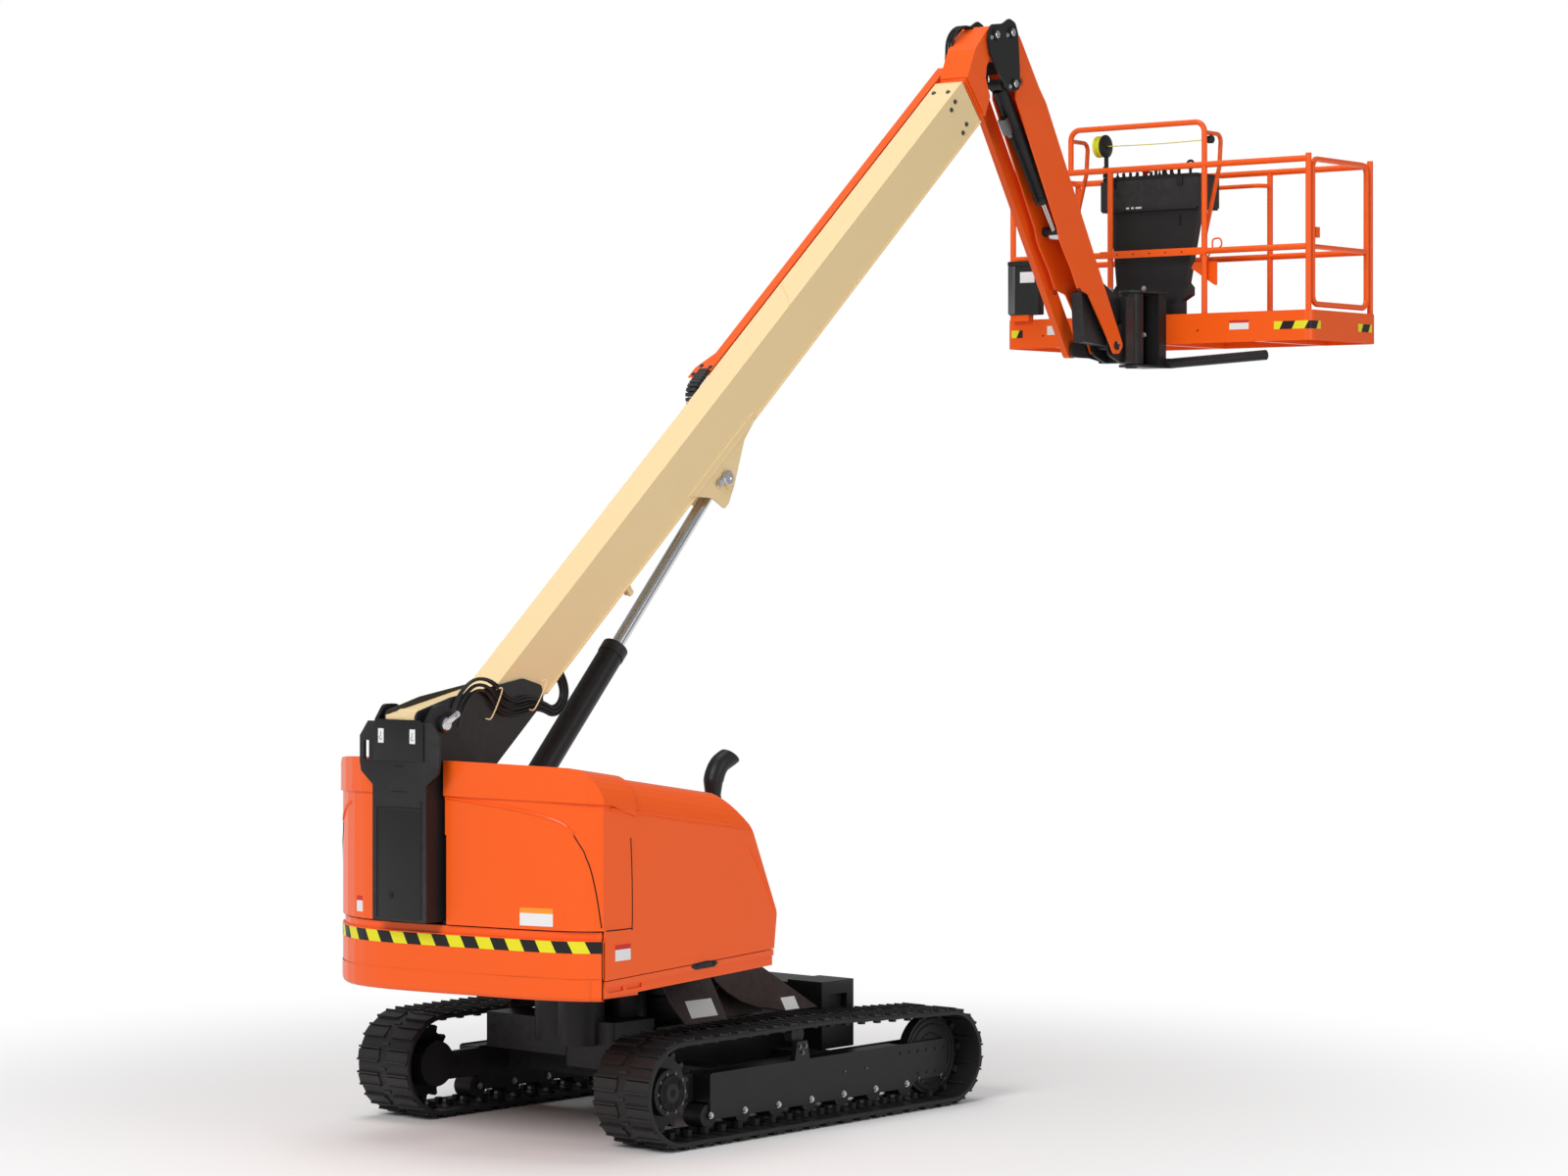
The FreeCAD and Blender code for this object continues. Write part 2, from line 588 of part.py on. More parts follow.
def make_heel_plates():
    """Dark cheek plates on both sides of the heel."""
    half = dim("boom_width") / 2
    outline = rounded([(-75, 140), (200, 8), (700, -300), (790, -430), (740, -512), (191, -512), (-112, -120)],
                      [40, 20, 60, 30, 20, 40, 60])
    shapes = [plate_y(outline, s * (half + 7.5) - 7, s * (half + 7.5) + 7, [(0, 0, 46), (-38, -200, 26)])
              for s in (1, -1)]
    feature("HeelPlates", Part.makeCompound(shapes), "boom_heel_plates", BOOM)


def make_fly():
    """Inner boom section that slides in the base boom."""
    half = dim("fly_width") / 2
    middle = dim("boom_top") - dim("boom_height") / 2
    up = dim("fly_height") / 2
    wall = dim("fly_wall")
    end = dim("boom_end") + 60
    outer = box(dim("fly_start"), end, -half, half, middle - up, middle + up)
    bore = box(dim("fly_start") - 1, end - 20, -half + wall, half - wall, middle - up + wall, middle + up - wall)
    feature("Fly", outer.cut(bore), "fly_boom", BOOM)


def make_fly_head():
    """Welded nose of the fly boom that carries the levelling bracket."""
    start = dim("boom_end") + 61
    outline = rounded([(start, -200), (6471, -112), (6620, -96), (6720, -100), (6740, -180), (6640, -232),
                       (6500, -268), (6440, -322), (6406, -441), (start, -500)], [0, 20, 20, 40, 40, 20, 40, 30, 20, 0])
    head = plate_y(outline, -108, 108, [(6686, -158, 32.05)])
    hollow = plate_y([(start + 30, -220), (6440, -140), (6560, -125), (6560, -180), (6380, -350), (start + 30, -470)],
                     -94, 94)
    feature("FlyHead", head.cut(hollow), "fly_head", BOOM)


def make_channel():
    """Cable channel along the left of the boom, with the wide end plate over the chain."""
    y0, y1 = 118, 186
    top = dim("boom_top")
    outer = box(3330, 6400, y0, y1, top - 84, top)
    bore = box(3320, 6410, y0 + 6, y1 - 6, top - 90, top - 6)
    plate = plate_z([(3240, y0), (3240, y1 + 70), (3330, y1 + 70), (3470, y1), (3470, y0)], top - 6, top)
    arm = box(6340, 6400, 108, y0 + 4, top - 80, top - 8)
    feature("Channel", fused([outer.cut(bore), plate, arm]), "cable_channel", BOOM)


def make_tray():
    """Tray on the base boom that the chain lies in."""
    y0, y1 = 112, 196
    z = -430
    outer = box(3050, 6150, y0, y1, z, z + 56)
    bore = box(3040, 6160, y0 + 5, y1 - 5, z + 5, z + 60)
    brackets = [box(x, x + 40, dim("boom_width") / 2, y0 + 3, z, z + 50) for x in (3100, 4100, 5100, 6080)]
    feature("Tray", fused([outer.cut(bore)] + brackets), "chain_tray", BOOM)


def cylinder_shapes(length, radius, rod_radius, barrel_end, rod_start, pin_radius, width, eye_radius):
    """Barrel and rod lying along +X: the barrel's foot is bored for its pin, the rod ends in a solid eye."""
    start = 1.3 * pin_radius
    tube = Part.makeCylinder(radius, barrel_end - start, V(start, 0, 0), V(1, 0, 0))
    gland = Part.makeCylinder(radius + 4, 0.9 * radius, V(barrel_end - 0.9 * radius, 0, 0), V(1, 0, 0))
    lug = rod((0, -width, 0), (0, width, 0), 1.7 * pin_radius)
    barrel = fused([tube, gland, lug])
    barrel = barrel.cut(Part.makeCylinder(rod_radius + 0.05, barrel_end, V(2.4 * pin_radius, 0, 0), V(1, 0, 0)))
    shaft = Part.makeCylinder(rod_radius, length - rod_start, V(rod_start, 0, 0), V(1, 0, 0))
    eye = rod((length, -width + 6, 0), (length, width - 6, 0), eye_radius)
    shaft = fused([shaft, eye])
    barrel = barrel.cut(rod((0, -2 * width, 0), (0, 2 * width, 0), pin_radius + 0.05))
    return barrel, shaft


def make_lift_cylinder():
    """Lift cylinder: barrel at the foot of the column, rod pinned between the boom's cheeks."""
    base = V(dim("lift_base_x"), BOOM_Y, dim("lift_base_z"))
    eye = BOOM.multVec(V(dim("lift_eye_along"), 0, dim("lift_eye_below")))
    place = FreeCAD.Placement(base, FreeCAD.Rotation(V(1, 0, 0), eye - base))
    barrel, shaft = cylinder_shapes((eye - base).Length, dim("lift_barrel_radius"), dim("lift_rod_radius"),
                                    dim("lift_barrel_length"), dim("lift_rod_foot"), 32, 66, dim("lift_rod_radius"))
    feature("LiftBarrel", barrel, "lift_cylinder_barrel", place)
    feature("LiftRod", shaft, "lift_cylinder_rod", place)


# ------------------------------------------------------------------------ jib
HEAD_PIN = BOOM.multVec(V(6686, 0, -158))
JIB_PIN = HEAD_PIN + V(175, 0, 30)
JIB_ANGLE = 57.1
JIB = FreeCAD.Placement(JIB_PIN, FreeCAD.Rotation(V(0, 1, 0), JIB_ANGLE))
LINK = FreeCAD.Placement(HEAD_PIN, FreeCAD.Rotation(V(0, 1, 0), JIB_ANGLE))
HEAD = FreeCAD.Placement(HEAD_PIN, FreeCAD.Rotation())


def make_bracket():
    """Levelling bracket: two cheek plates joined by pins and a cross plate at the boom's nose."""
    outline = rounded([(-85, -40), (-60, 60), (75, 78), (150, 118), (215, 95), (245, 30), (265, -200),
                       (262, -330), (160, -350), (30, -240), (-60, -130)],
                      [40, 50, 60, 30, 40, 40, 30, 40, 30, 60, 40])
    plates = [plate_y(outline, s * 124 - 7, s * 124 + 7) for s in (1, -1)]
    pin = rod((0, -136, 0), (0, 190, 0), 32)
    jib_pin = rod((175, -136, 30), (175, 136, 30), 30)
    tie = box(95, 115, -120, 120, -240, -160)
    base_pin = rod((205, -136, -295), (205, 136, -295), 24)
    heads = [rod((x, -142, z), (x, -131, z), r) for x, z, r in ((0, 0, 38), (175, 30, 36), (205, -295, 30))]
    feature("Bracket", fused(plates + [pin, jib_pin, tie, base_pin] + heads), "jib_bracket", HEAD)


def make_jib_arm():
    """Upper jib arm: an open channel, wide in the middle, with a fork at its foot."""
    length = dim("jib_length")
    half = dim("jib_half")
    t = dim("jib_plate")
    outline = rounded([(-62, 0), (-20, 72), (90, 112), (460, 128), (585, 145), (length + 45, 70), (length + 62, 0),
                       (length + 30, -56), (2273, -56), (1876, -100), (1780, -188), (1640, -182), (1460, -196),
                       (1400, -196), (1330, -176), (1079, -166), (398, -137), (340, -100), (40, -66), (-40, -52)],
                      [40, 40, 60, 200, 60, 40, 30, 30, 60, 30, 20, 60, 30, 30, 60, 60, 40, 30, 60, 30])
    holes = [(0, 0, 30.05), (length, 0, 28.05)]
    plates = [plate_y(outline, s * (half - t / 2) - t / 2, s * (half - t / 2) + t / 2, holes) for s in (1, -1)]
    web = plate_y([(330, 118), (585, 133), (1900, 90), (1900, 78), (585, 121), (330, 106)], -half + 2, half - 2)
    feature("JibArm", fused(plates + [web]), "jib_arm", JIB)


def make_jib_link():
    """Lower jib link on the left of the arm."""
    length = dim("jib_length")
    outline = rounded([(-66, 0), (-30, 62), (length + 25, 62), (length + 62, 0), (length + 25, -62), (-30, -62)],
                      [30, 40, 40, 30, 40, 40])
    body = new_body("JibLink")
    holes = [("circle", 0, 0, 32.05), ("circle", length, 0, 28.05)]
    pad(body, "XZ_Plane", [outline] + holes, "jib_link_thick", -163.5, both=True)
    keep(body, "jib_link", LINK)


def make_jib_cylinder():
    """Jib cylinder between the bracket's foot and the arm."""
    base = HEAD_PIN + V(205, 0, -295)
    eye = JIB.multVec(V(1430, 0, -92))
    place = FreeCAD.Placement(base, FreeCAD.Rotation(V(1, 0, 0), eye - base))
    barrel, shaft = cylinder_shapes((eye - base).Length, dim("jib_barrel_radius"), dim("jib_rod_radius"),
                                    880, 190, 24, 46, 36)
    feature("JibBarrel", barrel, "jib_cylinder_barrel", place)
    feature("JibRod", shaft, "jib_cylinder_rod", place)


# ------------------------------------------------------------------- platform
ARM_FOOT = JIB.multVec(V(DIMS["jib_length"], 0, 0))
LINK_FOOT = LINK.multVec(V(DIMS["jib_length"], 0, 0))
ROTATOR = V(dim("platform_rear_x") - dim("rotator_gap"), BOOM_Y, ARM_FOOT.z)
SUPPORT = FreeCAD.Placement(ARM_FOOT, FreeCAD.Rotation())


def make_support():
    """Platform support carried by the jib arm and link, ending in the rotator's post."""
    dx = LINK_FOOT.x - ARM_FOOT.x
    dz = LINK_FOOT.z - ARM_FOOT.z
    cheek = rounded([(-60, -60), (90, -110), (140, -110), (140, 150), (90, 150), (-60, 60)],
                    [50, 20, 0, 0, 30, 50])
    cheeks = [plate_y(cheek, s * 60 - 8, s * 60 + 8) for s in (1, -1)]
    arm_pin = rod((0, -104, 0), (0, 104, 0), 28)
    outer = rounded([(dx - 50, dz - 46), (dx + 40, dz - 50), (0, -80), (140, -100), (140, 60), (90, 60), (0, 80),
                     (dx + 40, dz + 50), (dx - 50, dz + 46)], [30, 20, 60, 0, 0, 20, 40, 20, 30])
    outer_plate = plate_y(outer, 112, 126)
    link_pin = rod((dx, 113, dz), (dx, 192, dz), 28)
    block = box(118, 214, -95, 126, -110, 330)
    post_x = ROTATOR.x - ARM_FOOT.x
    neck = box(200, post_x - 40, -60, 60, -90, 310)
    post = rod((post_x, 0, -110), (post_x, 0, 360), 80)
    spigots = rod((post_x, 0, -140), (post_x, 0, 390), 40)
    shapes = cheeks + [arm_pin, outer_plate, link_pin, block, neck, post, spigots]
    feature("Support", fused(shapes), "platform_support", SUPPORT)


def make_carrier():
    """Carrier that turns on the rotator's spigots and holds the platform."""
    x, y, z = ROTATOR.x, ROTATOR.y, ROTATOR.z
    rear = dim("platform_rear_x")
    shapes = []
    for low, high in ((-132, -116), (366, 382)):
        plan = rounded([(x - 80, y - 80), (rear + 40, y - 110), (rear + 40, y + 110), (x - 80, y + 80)],
                       [79, 0, 0, 79])
        plate = plate_z(plan, z + low, z + high)
        shapes.append(plate.cut(rod((x, y, z + low - 1), (x, y, z + high + 1), 40.05)))
    for side in (-1, 1):
        shapes.append(box(rear - 90, rear - 1, y + side * 90 - 7, y + side * 90 + 7, z - 125, z + 375))
    shapes.append(box(rear - 13, rear - 1, y - 97, y + 97, z - 125, z + 375))
    shapes.append(rod((rear + 30, y - 100, z - 100), (rear + 30, y - 860, z - 60), 34))
    shapes.append(box(rear - 2, rear + 62, y - 120, y - 90, z - 132, z - 66))
    feature("Carrier", fused(shapes), "platform_carrier")


def make_platform():
    """Platform floor with its toe board."""
    x0 = dim("platform_rear_x")
    x1 = x0 + dim("platform_width")
    half = dim("platform_length") / 2
    low = dim("floor_z") - 50
    high = low + dim("toe_height")
    plan = rounded([(x0, BOOM_Y - half), (x1, BOOM_Y - half), (x1, BOOM_Y + half), (x0, BOOM_Y + half)], 60)
    inner = rounded([(x0 + 4, BOOM_Y - half + 4), (x1 - 4, BOOM_Y - half + 4), (x1 - 4, BOOM_Y + half - 4),
                     (x0 + 4, BOOM_Y + half - 4)], 56)
    shell = plate_z(plan, low, high).cut(plate_z(inner, dim("floor_z"), high + 1))
    shell = shell.cut(plate_z(inner, low - 1, dim("floor_z") - 6))
    ribs = [box(x0 + 3, x1 - 3, BOOM_Y + y - 20, BOOM_Y + y + 20, low, dim("floor_z") - 5) for y in (-800, 0, 800)]
    tread = box(x0 + 230, x1 - 66, BOOM_Y - half + 80, BOOM_Y + half - 80, dim("floor_z") - 1, dim("floor_z") + 3)
    manual = box(x0 - 62, x0 + 1, BOOM_Y + 980, BOOM_Y + 1150, high + 40, high + 330)
    shelf = box(x0 - 60, x0 + 1, BOOM_Y + 990, BOOM_Y + 1140, high - 12, high + 42)
    feature("PlatformFloor", fused([shell, tread, shelf, manual] + ribs), "platform_floor")


def make_rails():
    """Tube rails: posts, top and mid rails with a gap for the gate, hand loop, and the guard over the console."""
    x0 = dim("platform_rear_x") + dim("rail_inset")
    x1 = dim("platform_rear_x") + dim("platform_width") - dim("rail_inset")
    half = dim("platform_length") / 2 - dim("rail_inset")
    r = dim("rail_radius")
    base = dim("floor_z")
    top = dim("floor_z") + dim("rail_height")
    mid = dim("floor_z") + 570
    guard = dim("guard_top")
    shapes = []
    for x, y in ((x0, half), (x1, half), (x0, -377), (x0, 377), (x1, 400), (x1, -400)):
        shapes.append(rod((x, BOOM_Y + y, base), (x, BOOM_Y + y, top), dim("post_radius")))
    for x in (x0, x1):
        shapes.append(rod((x, BOOM_Y - half, base), (x, BOOM_Y - half, top + 35), dim("post_radius")))
    for z in (mid, top):
        shapes.append(rod((x0, BOOM_Y - half, z), (x0, BOOM_Y + half, z), r))
        shapes.append(tube_path([(x0, BOOM_Y + half, z), (x1, BOOM_Y + half, z), (x1, BOOM_Y - half, z)], 70, r))
    loop = [(x1 - 2, BOOM_Y - 400, top - 95), (x1 - 110, BOOM_Y - 400, top - 95),
            (x1 - 110, BOOM_Y + 400, top - 95), (x1 - 2, BOOM_Y + 400, top - 95)]
    shapes.append(tube_path(loop, 70, 15))
    near, far = -266 - BOOM_Y, 812 - BOOM_Y
    arch = [(x0, BOOM_Y + near, mid), (x0, BOOM_Y + near, guard), (x0, BOOM_Y + far, guard), (x0, BOOM_Y + far, top)]
    shapes.append(tube_path(arch, 70, 19))
    for y in (near, far):
        brace = [(x0 - 2, BOOM_Y + y, guard - 72), (x0 + 210, BOOM_Y + y, guard - 72), (x0 + 190, BOOM_Y + y, top)]
        shapes.append(tube_path(brace + [(x0 + 2, BOOM_Y + y, mid + 90)], 50, 15))
    feature("Rails", fused(shapes), "platform_rails")


def make_console():
    """Control console with its knobs, on a waisted stand with a band."""
    x0 = dim("platform_rear_x") + 96
    floor = dim("floor_z")
    console = box(x0 + 20, x0 + 290, -165, 620, 5500, 5700)
    lid = box(x0 + 26, x0 + 284, -150, 605, 5690, 5730)
    shapes = [console, lid]
    for k in range(4):
        shapes.append(rod((x0 + 90, 30 + 62 * k, 5700), (x0 + 90, 30 + 62 * k, 5778), 11))
    for k in range(5):
        shapes.append(rod((x0 + 160, 300 + 56 * k, 5700), (x0 + 160, 300 + 56 * k, 5768), 11))
    outline = [(-158, 5501), (554, 5501), (505, 4990), (530, 4960), (530, 4905), (470, 4870), (470, floor),
               (-20, floor), (-20, 4870), (-84, 4905), (-84, 4960), (-56, 4990)]
    wire = Part.makePolygon([V(x0 + 40, y, z) for y, z in outline + outline[:1]])
    shapes.append(Part.Face(wire).extrude(V(70, 0, 0)))
    feature("Console", fused(shapes), "control_console")


def make_gate():
    """Entry gate that closes the platform's right end."""
    x0 = dim("platform_rear_x") + dim("rail_inset") + 50
    x1 = dim("platform_rear_x") + dim("platform_width") - dim("rail_inset") - 50
    y = BOOM_Y - dim("platform_length") / 2 + dim("rail_inset")
    z0, z1 = dim("floor_z") + 190, dim("floor_z") + dim("rail_height")
    mid = dim("floor_z") + 570
    loop = tube_path([(x1, y, mid), (x1, y, z1), (x0, y, z1), (x0, y, z0), (x1, y, z0), (x1, y, mid)], 60, 19)
    bar = rod((x0, y, mid), (x1, y, mid), 17)
    latch = box(x0 + 24, x0 + 74, y - 14, y + 14, mid + 60, mid + 130)
    arm = rod((x0, y, mid + 95), (x0 + 30, y, mid + 95), 9)
    feature("Gate", fused([loop, bar, latch, arm]), "platform_gate")


# --------------------------------------------------------------------- build
make_tracks()
make_track_frames()
make_rollers()
make_drives()
make_carbody()
make_covers()
make_deck()
make_counterweight()
make_column()
make_hoods()
make_sills()
make_engine()
make_exhaust()
make_base_boom()
make_heel_plates()
make_fly()
make_fly_head()
make_channel()
make_tray()
make_lift_cylinder()
make_bracket()
make_jib_arm()
make_jib_link()
make_jib_cylinder()
make_support()
make_carrier()
make_platform()
make_rails()
make_console()
make_gate()

doc.recompute()
for obj in doc.Objects:
    if "Invalid" in obj.State or "Error" in obj.State:
        raise RuntimeError("%s is in state %s" % (obj.Name, obj.State))
os.makedirs(os.path.join(ROOT, "parts"), exist_ok=True)
for obj in PARTS:
    if obj.Shape.isNull() or not obj.Shape.isValid():
        raise RuntimeError("%s has no valid shape" % obj.Label)
    obj.Shape.exportStep(os.path.join(ROOT, "parts", obj.Label + ".step"))
    print(obj.Label, len(obj.Shape.Solids), round(obj.Shape.Volume / 1e6, 2))
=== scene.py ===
"""Looks of the crawler boom lift: finishes, trim, hoses, floor, light and camera."""

import json
import logging
import math
from dataclasses import dataclass
from enum import Enum
from typing import Iterable, Optional, Sequence, Union

import bmesh
import bpy
from mathutils import Matrix, Vector


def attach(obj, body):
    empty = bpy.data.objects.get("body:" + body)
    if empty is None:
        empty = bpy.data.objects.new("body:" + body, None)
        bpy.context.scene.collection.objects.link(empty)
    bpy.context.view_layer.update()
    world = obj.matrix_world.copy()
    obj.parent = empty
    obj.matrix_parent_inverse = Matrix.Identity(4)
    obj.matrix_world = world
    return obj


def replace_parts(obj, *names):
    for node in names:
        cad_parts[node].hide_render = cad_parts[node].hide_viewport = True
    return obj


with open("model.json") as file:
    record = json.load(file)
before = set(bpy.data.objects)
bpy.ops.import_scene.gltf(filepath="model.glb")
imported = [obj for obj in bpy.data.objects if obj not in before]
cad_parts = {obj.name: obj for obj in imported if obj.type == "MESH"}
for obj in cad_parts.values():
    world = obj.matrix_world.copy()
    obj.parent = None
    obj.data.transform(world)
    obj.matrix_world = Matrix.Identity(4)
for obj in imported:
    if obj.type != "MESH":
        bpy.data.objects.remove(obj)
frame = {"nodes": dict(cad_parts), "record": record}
LOG = logging.getLogger("boom_lift")
Point = Sequence[float]
Pair = Sequence[float]
Colour = tuple[float, float, float]
Socket = bpy.types.NodeSocket
SIDES = ((-1, "right"), (1, "left"))  # sign across the machine and name of each side
UP = Vector((0, 0, 1))
LIFT = 0.0012  # metres that a printed piece lies above its part
SINK = 0.0005  # metres that the middle of a seam lies under its part's surface
REACH = 0.12  # metres that a strip may stand off its part before it is laid down
SHARP_DEG = 32.0  # edges with a larger turn than this stay crisp
BLACK = (0.014, 0.014, 0.015)
WHITE = (1.0, 1.0, 1.0, 1.0)


class Surface(Enum):
    """The kind of surface a finish stands for."""

    PAINT = "paint"
    RUBBER = "rubber"
    METAL = "metal"
    PLASTIC = "plastic"
    PRINT = "print"


class Facing(Enum):
    """Axis that a flat plate faces, as the order of its outline's two values and its level."""

    X = (2, 0, 1)
    Y = (0, 2, 1)


class Ends(Enum):
    """What closes a skin of rings: nothing, a face at each end, or the first ring after the last."""

    OPEN = "open"
    FILLED = "filled"
    JOINED = "joined"


@dataclass(frozen=True)
class Space:
    """Local axes: an origin in metres and a turn about one world axis."""

    origin: Point = (0.0, 0.0, 0.0)
    axis: str = "Z"
    turn_deg: float = 0.0

    def matrix(self) -> Matrix:
        """Return the matrix from these axes to the world."""
        return Matrix.Translation(self.origin) @ Matrix.Rotation(math.radians(self.turn_deg), 4, self.axis)

    def place(self, point: Point) -> Vector:
        """Return a local point in world axes."""
        return self.matrix() @ Vector(point)

    def turn(self, way: Point) -> Vector:
        """Return a local direction in world axes."""
        return self.matrix().to_3x3() @ Vector(way)


# Axes of the whole machine, tracks, boom, boom head and jib in the parked pose.
YARD = Space()
CHASSIS = Space(turn_deg=-3.2)
BOOM = Space((-2.03, 0.111, 2.288), "Y", -40.0)
HEAD = Space((3.19333, 0.111, 6.46464))
JIB = Space((3.36833, 0.111, 6.49464), "Y", 57.1)


# ---------------------------------------------------------------- node trees
class Graph:
    """A node tree that is filled node by node. An input takes a plain value or another node's output."""

    def __init__(self, tree: bpy.types.NodeTree) -> None:
        """Take a tree to fill."""
        self.tree = tree
        self.start, self.end = None, None

    @classmethod
    def group(cls, kind: str, name: str, inputs: dict[str, object], outputs: dict[str, str]) -> "Graph":
        """Start a node group with named sockets.

        Args:
            kind: type of the tree.
            name: name of the group.
            inputs: default value of each input, or the socket type of one that has none.
            outputs: socket type of each output.

        Returns:
            The graph of the group, with its start and end.
        """
        graph = cls(bpy.data.node_groups.new(name, kind))
        sockets = graph.tree.interface
        for label, value in inputs.items():
            socket_type = value if isinstance(value, str) else "NodeSocketFloat"
            socket = sockets.new_socket(name=label, in_out="INPUT", socket_type=socket_type)
            if not isinstance(value, str):
                socket.default_value = value
        for label, socket_type in outputs.items():
            sockets.new_socket(name=label, in_out="OUTPUT", socket_type=socket_type)
        graph.start = graph.tree.nodes.new("NodeGroupInput").outputs
        graph.end = graph.tree.nodes.new("NodeGroupOutput")
        return graph

    def add(self, kind: str, values: dict, **settings: object) -> bpy.types.bpy_prop_collection:
        """Add a node.

        Args:
            kind: type of the node.
            values: what its inputs take, by name or number.
            **settings: its other settings.

        Returns:
            Its outputs.
        """
        node = self.tree.nodes.new(kind)
        for name, value in settings.items():
            setattr(node, name, value)
        self.feed(node, values)
        return node.outputs

    def feed(self, node: bpy.types.Node, values: dict) -> None:
        """Set or link a node's inputs.

        Args:
            node: the node.
            values: what its inputs take, by name or number. A list links each of its outputs.
        """
        for key, value in values.items():
            for source in value if isinstance(value, list) else [value]:
                if isinstance(source, Socket):
                    self.tree.links.new(source, node.inputs[key])
                else:
                    node.inputs[key].default_value = source

    def close(self, values: dict[str, Socket]) -> bpy.types.NodeTree:
        """Feed the group's outputs and return its tree."""
        self.feed(self.end, values)
        return self.tree

    def math(self, operation: str, *terms: Union[float, Socket], clamp: bool = False) -> Socket:
        """Add a math node on one to three terms and return its value."""
        return self.add("ShaderNodeMath", dict(enumerate(terms)), operation=operation,
                        use_clamp=clamp)["Value"]

    def noise(self, scale: Union[float, Socket], detail: float = 2.0) -> Socket:
        """Add noise in the object's own axes and return its value."""
        here = self.add("ShaderNodeTexCoord", {})["Object"]
        return self.add("ShaderNodeTexNoise", {"Vector": here, "Scale": scale, "Detail": detail})["Fac"]

    def mix(self, low: object, high: object, factor: Socket) -> Socket:
        """Add a mix of two colours and return its result."""
        return self.add("ShaderNodeMix", {"Factor": factor, 6: low, 7: high}, data_type="RGBA")[2]

    def shade(self, low: Socket, high: Socket, factor: Socket, output: str) -> None:
        """Mix two shaders into the surface of the output node of that name."""
        mixed = self.add("ShaderNodeMixShader", {"Fac": factor, 1: low, 2: high})["Shader"]
        self.feed(self.tree.nodes[output], {"Surface": mixed})


class Effects:
    """Shader node groups that the finishes share. They give masks, values and normals, and no shaders."""

    @staticmethod
    def _mask(name: str, inputs: dict[str, float]) -> Graph:
        """Start a group that gives one mask."""
        return Graph.group("ShaderNodeTree", name, inputs, {"Mask": "NodeSocketFloat"})

    @staticmethod
    def grain() -> bpy.types.NodeTree:
        """Fine orange-peel grain: a value for roughness and a normal.

        Returns:
            The node group.
        """
        graph = Graph.group("ShaderNodeTree", "surface_grain", {"Scale": 60.0, "Depth": 0.1},
                            {"Value": "NodeSocketFloat", "Normal": "NodeSocketVector"})
        noise = graph.noise(graph.start["Scale"], 4.0)
        bump = graph.add("ShaderNodeBump", {"Height": noise, "Strength": graph.start["Depth"],
                                            "Distance": 0.002})
        return graph.close({"Value": noise, "Normal": bump["Normal"]})

    @classmethod
    def dust(cls) -> bpy.types.NodeTree:
        """Dust mask: strongest low down, broken by broad noise.

        Returns:
            The node group.
        """
        graph = cls._mask("ground_dust", {"Amount": 0.1, "Height": 0.9})
        here = graph.add("ShaderNodeTexCoord", {})["Object"]
        height = graph.add("ShaderNodeSeparateXYZ", {"Vector": here})["Z"]
        level = graph.add("ShaderNodeMapRange", {"Value": height, "From Max": graph.start["Height"],
                                                 "To Min": 1.0, "To Max": 0.15})["Result"]
        rough = graph.math("MULTIPLY", level, graph.noise(5.0, 6.0))
        return graph.close({"Mask": graph.math("MULTIPLY", rough, graph.start["Amount"], clamp=True)})

    @classmethod
    def wear(cls) -> bpy.types.NodeTree:
        """Edge wear mask from sharp edges, broken by noise.

        Returns:
            The node group.
        """
        graph = cls._mask("edge_wear", {"Amount": 0.2})
        edge = graph.add("ShaderNodeNewGeometry", {})["Pointiness"]
        sharp = graph.add("ShaderNodeMapRange", {"Value": edge, "From Min": 0.56,
                                                 "From Max": 0.68})["Result"]
        patchy = graph.math("MULTIPLY", sharp, graph.noise(22.0))
        return graph.close({"Mask": graph.math("MULTIPLY", patchy, graph.start["Amount"], clamp=True)})

    @classmethod
    def stripes(cls) -> bpy.types.NodeTree:
        """Slanting stripes along a strip's own length.

        Returns:
            The node group.
        """
        graph = cls._mask("slanting_stripes", {"Pitch": 0.19, "Slant": 0.5})
        strip = graph.add("ShaderNodeUVMap", {}, uv_map="UVMap")["UV"]
        split = graph.add("ShaderNodeSeparateXYZ", {"Vector": strip})
        lean = graph.math("MULTIPLY_ADD", split["Y"], graph.start["Slant"], split["X"])
        part = graph.math("FRACT", graph.math("DIVIDE", lean, graph.start["Pitch"]))
        return graph.close({"Mask": graph.math("GREATER_THAN", part, 0.5)})


